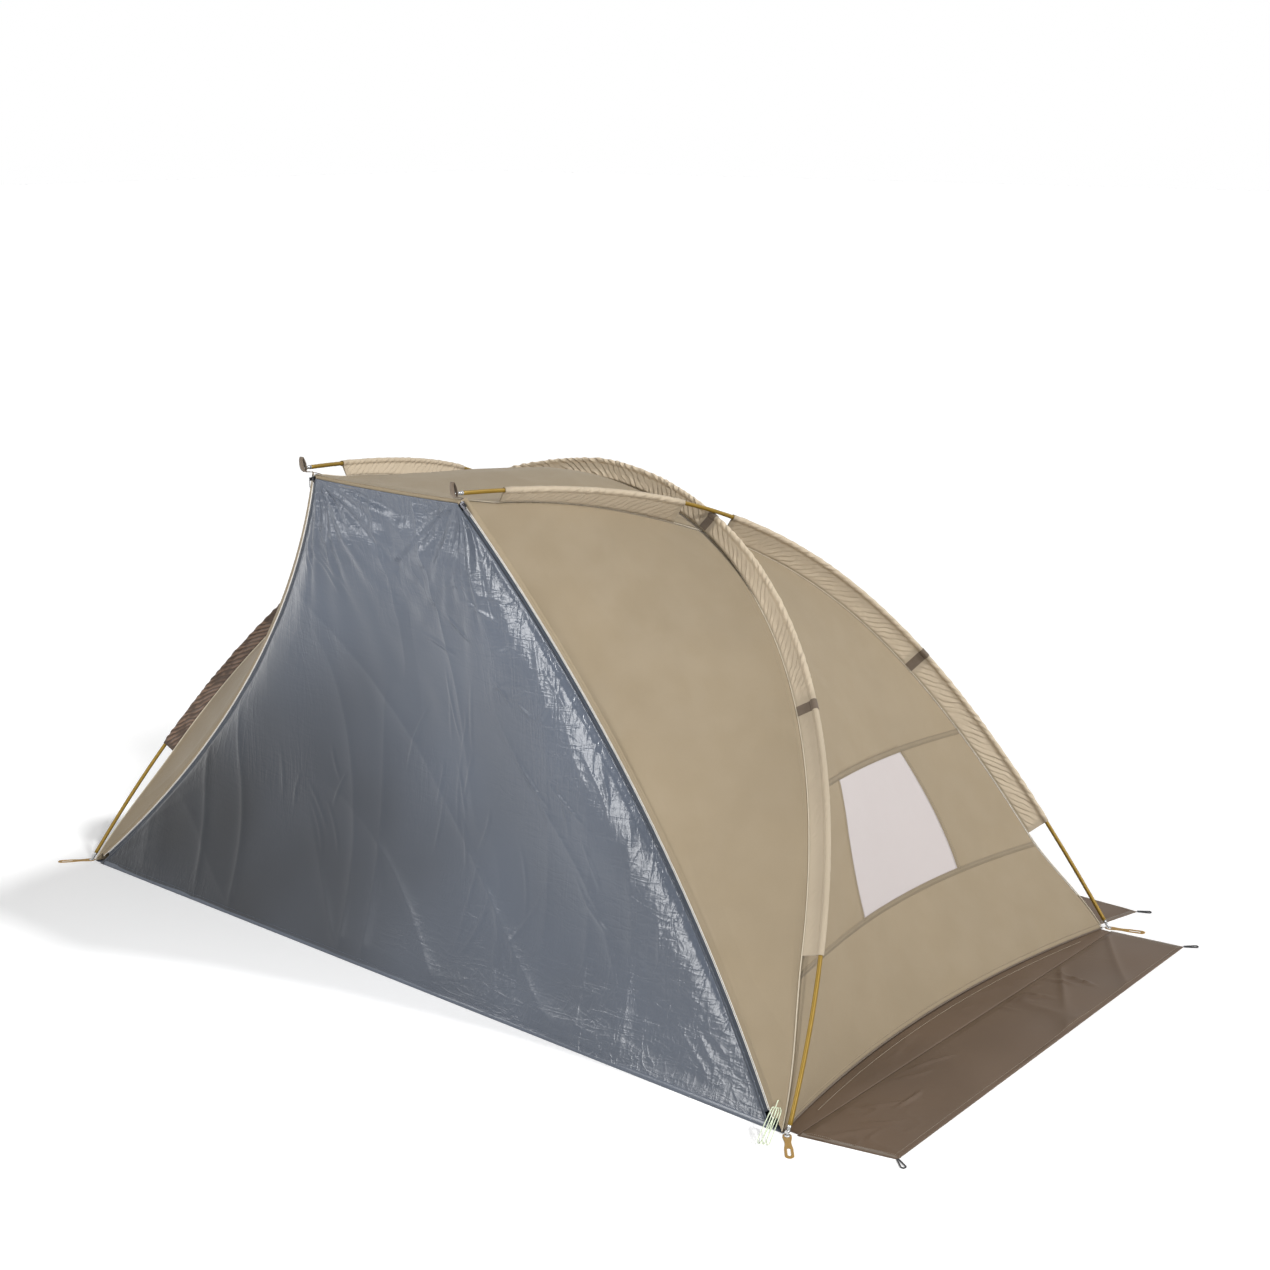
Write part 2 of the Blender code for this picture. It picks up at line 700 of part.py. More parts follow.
def sleeve(name, path, height_at, start, end, band_centres, finish, sign=1):
    """A sleeve with rings of its own at the ends of each band that lies over it."""
    angles = sleeve_angles()
    bore = [(SLEEVE_BORE * math.cos(a), SLEEVE_BORE * math.sin(a)) for a in angles]
    places = sorted([*path.stations(start, end), *np.ravel([band_ends(c) for c in band_centres])])
    foot = EDGE_INSET + SEAT_GAP
    outer = [place_section(path, s, sleeve_outline(height_at(s), 0.0, foot)) for s in places]
    inner = [place_section(path, s, bore) for s in places[::-1]]
    add_object(name, loft(outer + inner, wrap=True), finish, sign)


def band(name, path, height_at, centre, finish, sign=1):
    """A strap over a sleeve, open at the canopy."""
    rings = []
    for place in path.stations(*band_ends(centre)):
        inner = sleeve_outline(height_at(place), SEAT_GAP, BAND_FOOT_GAP)
        outer = sleeve_outline(height_at(place), BAND_STANDOFF, BAND_FOOT_GAP)
        rings.append(place_section(path, place, outer + inner[::-1]))
    add_object(name, loft(rings), finish, sign)


def build_sleeves(cloth, webbing):
    hoop_bands = [HOOP_CROSS, HOOP_CROSS - HOOP_BAND_FROM_CROSSING]
    hoop_bands += [hoop.length - centre for centre in hoop_bands]
    sleeve("hoop_sleeve", hoop, hoop_sleeve_height, HOOP_BARE_LEG, hoop.length - HOOP_BARE_LEG,
           hoop_bands, cloth)
    ridge_band = RIDGE_CROSS + RIDGE_BAND_FROM_CROSSING
    front_start = RIDGE_BARE_FRONT
    rear_start = RIDGE_CROSS + RIDGE_REAR_SLEEVE_START
    for side, sign in SIDES:
        sleeve(f"ridge_sleeve_front_{side}", ridge, ridge_height, front_start,
               front_start + RIDGE_FRONT_SLEEVE_LENGTH, [], cloth, sign)
        sleeve(f"ridge_sleeve_rear_{side}", ridge, ridge_height, rear_start,
               ridge.length - RIDGE_BARE_LEG, [ridge_band], cloth, sign)
        band(f"crossing_band_{side}", hoop, hoop_sleeve_height, HOOP_CROSS, webbing, sign)
        band(f"hoop_band_{side}", hoop, hoop_sleeve_height, hoop_bands[1], webbing, sign)
        band(f"ridge_band_{side}", ridge, ridge_height, ridge_band, webbing, sign)


def hoop_sleeve_height(place):
    """The fin ends where the seam lies, also where the crossing draws the seam aside."""
    right_place = min(place, hoop.length - place)
    point, _, out, _ = hoop.frame(right_place)
    return (point - hoop_seam_point(right_place)) @ out


# Canopy panels


def row_between(first, last, shares):
    return [first + (last - first) * share for share in shares]


def inset_shares(first, last, count):
    """Even shares of a row that stop short of both seams."""
    edge = EDGE_INSET / np.linalg.norm(last - first)
    return np.linspace(edge, 1.0 - edge, count)


def wing_rows(columns=9, rows=15):
    """Rows from the ridge down to the hem, between the door's zip and the hoop's leg."""
    beyond = ARC_AXIS * (ZIP_EDGE + WING_ZIP_GAP)
    zip_line = [arc_point(s)[0] + beyond for s in np.linspace(0.0, ARC_LENGTH, DENSE)]
    zip_line = Path([p for p in zip_line if p[2] > WING_HEM_HEIGHT])
    leg = Path([p for p in hoop_leg_seam.points if p[2] > WING_HEM_HEIGHT])
    start = zip_line.points[0]
    top = Path(np.vstack([start, ridge_front_seam.points[1:]]))
    grid = []
    for v in np.linspace(EDGE_INSET / leg.length, 1.0, rows):
        first = zip_line.at(v * zip_line.length)
        last = leg.at(v * leg.length)
        row = []
        for u in inset_shares(first, last, columns):
            lift = top.at(u * top.length) - (start + (CORNER - start) * u)
            slack = PANEL_SLACK * 16 * u * (1 - u) * v * (1 - v)
            row.append(first + (last - first) * u + lift * (1 - ease(v)) - RIGHT * slack)
        grid.append(row)
    grid[0] = [point - UP * EDGE_INSET for point in grid[0]]
    return grid


def build_wing(side, sign, finish):
    sheet(f"front_wing_{side}", wing_rows(), CANOPY_THICKNESS, finish, sign)


def wall_point(u, v):
    """The right side wall at a share across from the hoop and a share down."""
    rows = [0.0, *SEAM_ROW_SHARES, 1.0]
    hoop_share = np.interp(v, rows, [0.0, *HOOP_SEAM_SHARES, 1.0])
    ridge_share = np.interp(v, rows, [0.0, *RIDGE_SEAM_SHARES, 1.0])
    first = hoop_leg_seam.at(hoop_share * hoop_leg_seam.length)
    last = ridge_rear_seam.at(ridge_share * ridge_rear_seam.length)
    slack = PANEL_SLACK * 4 * u * (1 - u) * 4 * v * (1 - v)
    hem = HEM_BOW * 4 * u * (1 - u) * ease(v)
    return first + (last - first) * u - RIGHT * (slack + hem)


def wall_width(v):
    return np.linalg.norm(wall_point(1.0, v) - wall_point(0.0, v))


def window_sides(v):
    """Shares across the wall where the window starts and ends."""
    left = np.interp(v, SEAM_ROW_SHARES, WINDOW_LEFT_SHARES)
    right = np.interp(v, SEAM_ROW_SHARES, WINDOW_RIGHT_SHARES)
    return left, right


WALL_ROWS_ABOVE = 6
WALL_ROWS_WINDOW = 5
WALL_ROWS_BELOW = 4
WALL_COLUMNS = (2, 5, 4)
WALL_TOP_SHARE = 0.035


def build_side_wall(side, sign, finish, film):
    """Between the hoop's leg and the rear part of the ridge pole, with a window opening."""
    upper, lower = SEAM_ROW_SHARES
    places = np.concatenate([
        np.linspace(WALL_TOP_SHARE, upper, WALL_ROWS_ABOVE, endpoint=False),
        np.linspace(upper, lower, WALL_ROWS_WINDOW, endpoint=False),
        np.linspace(lower, 1.0, WALL_ROWS_BELOW),
    ])
    grid = []
    for v in places:
        edge = EDGE_INSET / wall_width(v)
        left, right = window_sides(v)
        before, within, after = WALL_COLUMNS
        shares = np.concatenate([
            np.linspace(edge, left, before, endpoint=False),
            np.linspace(left, right, within, endpoint=False),
            np.linspace(right, 1.0 - edge, after),
        ])
        grid.append([wall_point(u, v) for u in shares])
    hole = (WALL_ROWS_ABOVE, WALL_ROWS_ABOVE + WALL_ROWS_WINDOW,
            WALL_COLUMNS[0], WALL_COLUMNS[0] + WALL_COLUMNS[1])
    sheet(f"side_wall_{side}", grid, CANOPY_THICKNESS, finish, sign, hole=hole)
    depth = np.linalg.norm(wall_point(0.5, lower) - wall_point(0.5, upper))
    margin = WINDOW_GAP / depth * (lower - upper)
    pane = []
    for v in np.linspace(upper + margin, lower - margin, WALL_ROWS_WINDOW + 1):
        gap = WINDOW_GAP / wall_width(v)
        left, right = window_sides(v)
        shares = np.linspace(left + gap, right - gap, WALL_COLUMNS[1] + 1)
        pane.append([wall_point(u, v) for u in shares])
    sheet(f"window_{side}", pane, WINDOW_THICKNESS, film, sign)


def crown_lift(u):
    """How far the hoop's crown seam lies from the straight line between its two ends."""
    point = crown_seam.at(u * crown_seam.length)
    first, last = crown_seam.points[0], crown_seam.points[-1]
    return point - (first + (last - first) * u)


def build_roof(finish, columns=13, rows=9):
    """From the door's top edge back to the hoop."""
    grid = []
    seam = ridge_front_seam
    back = EDGE_INSET / seam.length
    front = (DOOR_THICKNESS + CANOPY_THICKNESS) / 2 / seam.length + back
    for v in np.linspace(front, 1.0 - back, rows):
        first = seam.at(v * seam.length)
        last = first * (-1.0, 1.0, 1.0)
        row = []
        for u in inset_shares(first, last, columns):
            sag = ROOF_FRONT_SAG * 4 * u * (1 - u) * (1 - ease(v))
            row.append(first + (last - first) * u + crown_lift(u) * ease(v) - UP * sag)
        grid.append(row)
    sheet("roof_panel", grid, CANOPY_THICKNESS, finish)


def build_rear_wall(finish, columns=13, rows=15):
    """From the hoop down to the ground behind."""
    seam = ridge_rear_seam
    grid = []
    for v in np.linspace(EDGE_INSET / seam.length, 1.0, rows):
        first = seam.at(v * seam.length)
        last = first * (-1.0, 1.0, 1.0)
        row = []
        for u in inset_shares(first, last, columns):
            row.append(first + (last - first) * u + crown_lift(u) * (1 - ease(v / CROWN_FADE_SHARE)))
        grid.append(row)
    sheet("rear_wall", grid, CANOPY_THICKNESS, finish)


# Ground pieces and the door


def hem_point(u):
    """The side wall's hem on the ground, from the hoop's foot to the rear foot."""
    return wall_point(u, 1.0)


def hem_shares(rows=13):
    """Shares along the side hem, with one where the skirt starts and one where it ends."""
    first, last = hem_point(0.0)[1], hem_point(1.0)[1]
    start = (FRONT_Y + FLAP_FOLD_OUT - first) / (last - first)
    end = (REAR_Y - FLAP_FOLD_OUT - first) / (last - first)
    inner = [u for u in np.linspace(0.0, 1.0, rows) if start < u < end]
    return [0.0, start, *inner, end, 1.0]


def build_groundsheet(finish, columns=7):
    grid = []
    front = DOOR_FOOT[1] + DOOR_THICKNESS / 2 + SEAT_GAP * 2
    for u in hem_shares():
        edge = hem_point(u) + RIGHT * GROUNDSHEET_LIP
        if u == 0.0:
            edge[1] = front
        if u == 1.0:
            edge[1] += GROUNDSHEET_LIP
        edge[2] = GROUNDSHEET_THICKNESS / 2
        grid.append(row_between(edge, edge * (-1.0, 1.0, 1.0), np.linspace(0.0, 1.0, columns)))
    sheet("groundsheet", grid, GROUNDSHEET_THICKNESS, finish)


def flap_fold(share):
    """The straight fold of the right sand flap, from front to back."""
    front = np.array([HALF_FRONT + FLAP_FOLD_OUT, FRONT_Y + FLAP_FOLD_OUT, FLAP_THICKNESS / 2])
    rear = np.array([HALF_REAR + FLAP_FOLD_OUT, REAR_Y - FLAP_FOLD_OUT, FLAP_THICKNESS / 2])
    return front + (rear - front) * share


def build_side_skirt(finish):
    """The fixed strip between the bowed hem and the flap's straight fold."""
    front, rear = flap_fold(0.0), flap_fold(1.0)
    grid = []
    for u in hem_shares()[1:-1]:
        inner = hem_point(u) + RIGHT * (GROUNDSHEET_LIP + SEAT_GAP)
        inner[2] = FLAP_THICKNESS / 2
        share = (inner[1] - front[1]) / (rear[1] - front[1])
        outer = front + (rear - front) * share - RIGHT * FOLD_GAP
        grid.append([inner, (inner + outer) / 2, outer])
    sheet("side_skirt_right", grid, FLAP_THICKNESS, finish)


def build_side_flap(finish, rows=17, columns=5):
    """The right sand flap, hinged on its fold."""
    grid = []
    for v in np.linspace(0.0, 1.0, rows):
        inner = flap_fold(v)
        reach = FLAP_FRONT_REACH + (FLAP_REAR_REACH - FLAP_FRONT_REACH) * v
        slant = FLAP_FRONT_SLANT + (FLAP_REAR_SLANT - FLAP_FRONT_SLANT) * v
        outer = inner + (reach - FLAP_FOLD_OUT, slant, 0.0)
        row = row_between(inner, outer, np.linspace(0.0, 1.0, columns))
        for u, point in zip(np.linspace(0.0, 1.0, columns), row):
            point[2] += FLAP_WAVE * math.sin(math.pi * u) * math.sin(5 * math.pi * v) ** 2
        grid.append(row)
    fold = flap_fold(0.5)
    return sheet("sand_flap_right", grid, FLAP_THICKNESS, finish, pivot=fold)


def rear_flap_rows(rows=4, columns=13):
    half_inner = HALF_REAR - REAR_FLAP_SIDE_INSET
    inner_y = hem_point(1.0)[1] + GROUNDSHEET_LIP + FOLD_GAP
    grid = []
    for v in np.linspace(0.0, 1.0, rows):
        half = half_inner + REAR_FLAP_SPLAY * v
        row = []
        for u in np.linspace(-1.0, 1.0, columns):
            wave = FLAP_WAVE * math.sin(math.pi * v) * math.sin(4 * math.pi * u) ** 2
            y = inner_y + (REAR_Y + REAR_FLAP_DEPTH - inner_y) * v
            row.append(np.array([half * u, y, FLAP_THICKNESS / 2 + wave]))
        grid.append(row)
    return grid, inner_y


def build_rear_flap(finish):
    grid, inner_y = rear_flap_rows()
    sheet("sand_flap_rear", grid, FLAP_THICKNESS, finish,
          pivot=(0.0, inner_y, FLAP_THICKNESS / 2))


def build_door(finish, rows=19, columns=13):
    """The coated front panel between both zips, hinged on the ground."""
    grid = []
    for s in np.linspace(0.0, DOOR_EDGE_LENGTH, rows):
        edge = door_edge(s)
        row = row_between(edge, edge * (-1.0, 1.0, 1.0), np.linspace(0.0, 1.0, columns))
        fade = 1.0 - ease(s / DOOR_EDGE_LENGTH)
        for u, point in zip(np.linspace(0.0, 1.0, columns), row):
            point[2] -= ROOF_FRONT_SAG * 4 * u * (1 - u) * fade
        grid.append(row)
    sheet("door_panel", grid, DOOR_THICKNESS, finish, pivot=DOOR_PIVOT)


# Zips


def zip_half(direction):
    """The tape with its chain at the inner edge, to one side of the zip line."""
    inner = ZIP_SPLIT / 2
    chain = inner + ZIP_CHAIN_WIDTH
    outer = inner + ZIP_TAPE_WIDTH
    thick = ZIP_CHAIN_THICKNESS / 2
    thin = ZIP_TAPE_THICKNESS / 2
    points = [(inner, -thick), (chain, -thick), (chain, -thin), (outer, -thin),
              (outer, thin), (chain, thin), (chain, thick), (inner, thick)]
    return [(direction * a, b) for a, b in points]


def build_zip(side, sign, cloth, metal):
    canopy = arc_path(0.0, ARC_LENGTH - ZIP_END, ARC_STATIONS)
    door = arc_path(SLIDER_PARK, ARC_LENGTH - ZIP_END - SLIDER_PARK, ARC_STATIONS)
    _, _, _, across = canopy.frame(0.0)
    turn = 1.0 if across @ ARC_AXIS > 0 else -1.0
    for name, path, direction in (("zip_tape", canopy, turn), ("door_zip", door, -turn)):
        rings = [place_section(path, s, zip_half(direction)) for s in path.reach]
        pivot = DOOR_PIVOT if name == "door_zip" else None
        add_object(f"{name}_{side}", loft(rings), cloth, sign, pivot)
    build_slider(side, sign, metal)
    build_puller(side, sign, metal)


def slider_section():
    """Two plates joined by a thin post."""
    low = ZIP_CHAIN_THICKNESS / 2 + SLIDER_PLAY
    high = low + SLIDER_PLATE_THICKNESS
    wide = SLIDER_PLATE_WIDTH / 2
    post = SLIDER_POST_THICKNESS / 2
    return [(-wide, -high), (wide, -high), (wide, -low), (post, -low), (post, low), (wide, low),
            (wide, high), (-wide, high), (-wide, low), (-post, low), (-post, -low), (-wide, -low)]


PLATE_FRONT = ZIP_CHAIN_THICKNESS / 2 + SLIDER_PLAY + SLIDER_PLATE_THICKNESS
PULLER_HEAD = PULLER_EYE / 2 + PULLER_THICKNESS


def slider_frame():
    """The parked slider's middle on the zip line, with the front and the down direction."""
    point, out = arc_point(SLIDER_PARK / 2)
    down = unit(np.cross(ARC_AXIS, out))
    return point, -out, down * -np.sign(down[2])


def slider_pivot(sign):
    return tuple(ARC_CENTRE * (sign, 1.0, 1.0))


def build_slider(side, sign, metal):
    """Two plates round both chain halves, with a bridge on the front one for the puller."""
    start = (SLIDER_PARK - SLIDER_LENGTH) / 2
    path = arc_path(start, start + SLIDER_LENGTH, 3)
    rings = [place_section(path, s, slider_section()) for s in path.reach]
    body = add_object(f"zip_slider_{side}", loft(rings), metal, sign, slider_pivot(sign))
    point, front, down = slider_frame()
    half, bar = BRIDGE_LENGTH / 2, BRIDGE_HEIGHT - BRIDGE_WALL
    sunk = -SLIDER_PLATE_THICKNESS / 2
    outline = [(-half, sunk), (-half, BRIDGE_HEIGHT), (half, BRIDGE_HEIGHT), (half, sunk),
               (half - BRIDGE_WALL, sunk), (half - BRIDGE_WALL, bar),
               (BRIDGE_WALL - half, bar), (BRIDGE_WALL - half, sunk)]
    rings = []
    for offset in (-BRIDGE_WIDTH / 2, BRIDGE_WIDTH / 2):
        rings.append([point + front * (PLATE_FRONT + b) + down * offset + ARC_AXIS * a
                      for a, b in outline])
    join(body, loft(rings), f"bridge {side}", sign)


def puller_frame(bar, front):
    """The hanging direction and the front direction that put its weight under the bar."""
    hang = unit(ARC_AXIS * ARC_AXIS[2] - UP)
    ahead = unit(front - hang * (front @ hang))
    ring = 4 * (PULLER_EYE + PULLER_THICKNESS) * PULLER_THICKNESS
    tab = (PULLER_LENGTH - PULLER_HEAD) * PULLER_THICKNESS
    reach = tab * (PULLER_LENGTH + PULLER_HEAD) / 2 / (ring + tab)
    offset = tab * (PULLER_HEAD - PULLER_THICKNESS / 2) / (ring + tab)
    turn = math.atan2(offset, reach)
    down = hang * math.cos(turn) - ahead * math.sin(turn)
    return down, ahead * math.cos(turn) + hang * math.sin(turn)


def build_puller(side, sign, metal):
    """A flat tab whose square eye goes round the bridge's bar. It hangs as it weighs."""
    point, front, _ = slider_frame()
    bar = point + front * (PLATE_FRONT + BRIDGE_HEIGHT - BRIDGE_WALL / 2)
    down, ahead = puller_frame(bar, front)
    wide = BRIDGE_LENGTH / 2 - BRIDGE_WALL - SEAT_GAP * 2
    eye, head = PULLER_EYE / 2, PULLER_HEAD

    def outline_at(outline, offset):
        return [bar + ahead * b + down * a + ARC_AXIS * offset for a, b in outline]

    def square(half):
        return [(-half, -half), (-half, half), (half, half), (half, -half)]

    rings = [outline_at(square(head), -wide), outline_at(square(head), wide),
             outline_at(square(eye), wide), outline_at(square(eye), -wide)]
    pivot = tuple(bar * (sign, 1.0, 1.0))
    body = add_object(f"zip_puller_{side}", loft(rings, wrap=True), metal, sign, pivot)
    near, low = eye + PULLER_THICKNESS / 2, head - PULLER_THICKNESS
    tab = [(near, low), (near, head), (PULLER_LENGTH, head), (PULLER_LENGTH, low)]
    join(body, loft([outline_at(tab, -wide), outline_at(tab, wide)]), f"tab {side}", sign)


# Corner straps, tabs, loops and the guy line


def stadium(length, width, start, steps=6):
    """A strip with round ends along +X, from a start."""
    half = width / 2
    points = []
    for centre, first in ((start, math.pi / 2), (start + length, -math.pi / 2)):
        for k in range(steps + 1):
            angle = first + math.pi * k / steps
            points.append((centre + half * math.cos(angle), half * math.sin(angle)))
    return points


def turned_outline(points, angle, centre):
    c, s = math.cos(angle), math.sin(angle)
    return [(centre[0] + x * c - y * s, centre[1] + x * s + y * c) for x, y in points]


def build_strap(name, foot, angle, sign, finish):
    """A webbing strap with an eyelet under the pole tip and a peg slot near its far end."""
    outline = turned_outline(stadium(STRAP_LENGTH, STRAP_WIDTH, 0.0), angle, foot)
    strap = add_object(name, plate(outline, 0.0, STRAP_THICKNESS), finish, sign, None, False)
    slot_start = STRAP_LENGTH - STRAP_SLOT_LENGTH + STRAP_SLOT_WIDTH / 2
    slot = stadium(STRAP_SLOT_LENGTH - STRAP_SLOT_WIDTH, STRAP_SLOT_WIDTH, slot_start)
    slot = turned_outline(slot, angle, foot)
    cut(strap, plate(slot, -OVERRUN, STRAP_THICKNESS + OVERRUN), f"{name} slot", sign)
    hole = turned_outline(circle(EYELET_DIAMETER / 2, TIP_SIDES), angle, foot)
    cut(strap, plate(hole, -OVERRUN, STRAP_THICKNESS + OVERRUN), f"{name} eyelet", sign)


def build_tab(side, sign, finish):
    """An upright webbing loop that the ridge pole's front pin enters, with its tail to the roof."""
    tip, forward, _, _ = ridge.frame(0.0)
    tilt = math.sqrt(1.0 - forward[1] ** 2)
    back = tip[1] + TIP_PIN_LENGTH * forward[1] - TIP_BODY_DIAMETER / 2 * tilt - SEAT_GAP
    low, high = tip[2] - TAB_FOOT, tip[2] - TAB_FOOT + TAB_HEIGHT
    lean, wall, half = TAB_LEAN, TAB_THICKNESS, TAB_WIDTH / 2
    outer = [(back, low), (back - lean, high), (back - lean - TAB_DEPTH, high), (back - TAB_DEPTH, low)]
    inner = [(back - wall, low + wall), (back - lean - wall, high - wall),
             (back - lean - TAB_DEPTH + wall, high - wall), (back - TAB_DEPTH + wall, low + wall)]
    rings = []
    for outline, sides in ((outer, (-half, half)), (inner, (half, -half))):
        for x in sides:
            rings.append([(tip[0] + x, y, z) for y, z in outline])
    tab = add_object(f"tip_tab_{side}", loft(rings, wrap=True), finish, sign, None, False)
    start = np.array([tip[0], back - TAB_DEPTH / 2, low + wall / 2])
    inboard = EDGE_INSET + TAB_TAIL_WIDTH / 2
    end = ARC_TOP + UP * TAB_TAIL_LIFT + (-inboard, TAB_TAIL_OVERLAP, 0.0)
    thick = np.array([0.0, 0.0, TAB_TAIL_THICKNESS / 2])
    rings = []
    for point in (start, end):
        left, right = point - RIGHT * TAB_TAIL_WIDTH / 2, point + RIGHT * TAB_TAIL_WIDTH / 2
        rings.append([left - thick, right - thick, right + thick, left + thick])
    join(tab, loft(rings), f"tip tab tail {side}", sign)
    hole = TIP_PIN_DIAMETER / 2 + SEAT_GAP * 2
    path = Path([tip - forward * TIP_PIN_LENGTH, tip + forward * TIP_LENGTH])
    path.outward = np.array([UP, UP])
    rings = [place_section(path, s, circle(hole, TIP_SIDES)) for s in path.reach]
    cut(tab, loft(rings), f"tip tab eyelet {side}", sign)


def curve_object(name, points, diameter, finish, resolution, pivot=None):
    data = bpy.data.curves.new(name, "CURVE")
    data.dimensions = "3D"
    data.bevel_depth = diameter / 2
    data.bevel_resolution = resolution
    data.use_fill_caps = True
    place = np.zeros(3) if pivot is None else np.array(pivot)
    line = data.splines.new("POLY")
    line.points.add(len(points) - 1)
    for target, point in zip(line.points, points):
        target.co = (*(np.array(point) - place), 1.0)
    data.materials.append(finish)
    made = bpy.data.objects.new(name, data)
    made.location = tuple(place)
    bpy.context.scene.collection.objects.link(made)
    return made


def elastic_points(start, angle, count=15):
    """Out and round and back, lying on the ground."""
    half = ELASTIC_LOOP_WIDTH / 2
    gap = SEAT_GAP
    raw = [(gap, -half * ELASTIC_ROOT_SHARE)]
    for k in range(count):
        turn = -math.pi / 2 + math.pi * k / (count - 1)
        raw.append((ELASTIC_LOOP_LENGTH - half + half * math.cos(turn), half * math.sin(turn)))
    raw.append((gap, half * ELASTIC_ROOT_SHARE))
    c, s = math.cos(angle), math.sin(angle)
    return [(start[0] + x * c - y * s, start[1] + x * s + y * c, ELASTIC_DIAMETER / 2)
            for x, y in raw]


def build_elastics(finish):
    fold = tuple(flap_fold(0.5))
    front = flap_fold(0.0) + (FLAP_FRONT_REACH - FLAP_FOLD_OUT, FLAP_FRONT_SLANT, 0.0)
    rear = flap_fold(1.0) + (FLAP_REAR_REACH - FLAP_FOLD_OUT, FLAP_REAR_SLANT, 0.0)
    curve_object("flap_loop_front", elastic_points(front, ELASTIC_FRONT_TURN),
                 ELASTIC_DIAMETER, finish, 1, fold)
    curve_object("flap_loop_rear", elastic_points(rear, ELASTIC_REAR_TURN),
                 ELASTIC_DIAMETER, finish, 1, fold)
    grid, inner_y = rear_flap_rows()
    corner = grid[-1][-1]
    curve_object("rear_flap_loop", elastic_points(corner, ELASTIC_BACK_TURN),
                 ELASTIC_DIAMETER, finish, 1, (0.0, inner_y, FLAP_THICKNESS / 2))


def loop_point(share):
    """A point of a long loop with round ends, from the middle of its top, as (wide, long)."""
    radius = HANK_WIDTH / 2
    run = HANK_LENGTH - HANK_WIDTH
    quarter = math.pi * radius / 2
    along = share % 1.0 * (4 * quarter + 2 * run)
    if along < quarter:
        angle = along / radius
        return radius * math.sin(angle), radius * (1 - math.cos(angle))
    if along < quarter + run:
        return radius, radius + along - quarter
    if along < 3 * quarter + run:
        angle = (along - quarter - run) / radius
        return radius * math.cos(angle), radius + run + radius * math.sin(angle)
    if along < 3 * quarter + 2 * run:
        return -radius, radius + run - (along - 3 * quarter - run)
    angle = (along - 3 * quarter - 2 * run) / radius
    return -radius * math.cos(angle), radius * (1 - math.sin(angle))


def hank_points():
    """Hanging loops of one cord. Each loop lies a layer further along than the last."""
    points = []
    for k in range(HANK_LOOPS * HANK_POINTS_PER_LOOP + 1):
        layer = k / HANK_POINTS_PER_LOOP
        wide, long = loop_point(layer)
        points.append((wide, (layer - HANK_LOOPS / 2) * HANK_LAYER, long))
    return points


def least_self_gap(points, diameter):
    """The nearest that the cord comes to itself, surface to surface."""
    points = np.array(points)
    steps = np.linalg.norm(np.diff(points, axis=0), axis=1)
    reach = np.concatenate([[0.0], np.cumsum(steps)])
    apart = np.linalg.norm(points[:, None] - points[None], axis=2)
    away = np.abs(reach[:, None] - reach[None]) > 5 * diameter
    return float(apart[away].min() - diameter)


def hank_hook():
    """A place just in front of the wing, above its hem, and the direction away from the cloth."""
    above, hem = wing_rows()[-2:]
    middle = len(hem) // 2
    point = hem[middle] + (above[middle] - hem[middle]) * HANK_HOOK_SHARE
    away = unit(np.cross(hem[middle + 1] - hem[middle], above[middle] - hem[middle]))
    away = away * -np.sign(away[1])
    return point + away * (CANOPY_THICKNESS / 2 + SEAT_GAP * 1.5), away


def build_hank(finish):
    """The folded guy line that hangs from the wing at the front right corner."""
    top = np.array([HALF_FRONT - HANK_TOP_IN, FRONT_Y - HANK_TOP_FORWARD, HANK_TOP_HEIGHT])
    foot = np.array([HALF_FRONT - HANK_FOOT_IN, FRONT_Y - HANK_FOOT_FORWARD, CORD_DIAMETER])
    down = unit(foot - top)
    layers = unit(RIGHT - down * (RIGHT @ down))
    across = np.cross(down, layers)
    points = [top + across * wide + layers * layer + down * long
              for wide, layer, long in hank_points()]
    hook, away = hank_hook()
    clear = hook + away * CORD_DIAMETER
    lead = bezier(np.array([clear, clear + away * HANK_LEAD_BEND,
                            points[0] - across * HANK_LEAD_BEND, points[0]]), 10)
    points = [hook, *lead[:-1], *points, points[-1] + across * CORD_DIAMETER * 1.5]
    print(f"guy line least self-gap {least_self_gap(points, CORD_DIAMETER) * 1000:.2f} mm")
    curve_object("guyline_hank", points, CORD_DIAMETER, finish, 1)


SIDES = (("right", 1), ("left", -1))


def main():
    clear_scene()
    finish = finishes()
    build_poles(finish["pole"], finish["silver"])
    build_sleeves(finish["sleeve"], finish["band"])
    build_roof(finish["canopy"])
    build_rear_wall(finish["canopy"])
    build_groundsheet(finish["sheet"])
    build_door(finish["sheet"])
    build_side_skirt(finish["flap"])
    build_side_flap(finish["flap"])
    build_rear_flap(finish["flap"])
    build_elastics(finish["elastic"])
    for side, sign in SIDES:
        build_wing(side, sign, finish["canopy"])
        build_side_wall(side, sign, finish["canopy"], finish["window"])
        build_zip(side, sign, finish["zip"], finish["slider"])
        build_tab(side, sign, finish["band"])
        build_strap(f"corner_strap_front_{side}", (HALF_FRONT, FRONT_Y), FRONT_STRAP_TURN,
                    sign, finish["strap"])
        build_strap(f"corner_strap_rear_{side}", (HALF_REAR, REAR_Y), REAR_STRAP_TURN,
                    sign, finish["strap"])
    build_hank(finish["cord"])


main()
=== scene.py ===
"""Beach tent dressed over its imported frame: poles, cloth, sleeves, seams, zips, webbing and cords.

Metres, +Z up, in the frame's own space: X runs to the right, Y to the back, and the origin
lies on the ground in the middle of the base.
"""

import math
from contextlib import contextmanager

import bmesh
import bpy
import numpy as np
from mathutils import Matrix, Vector


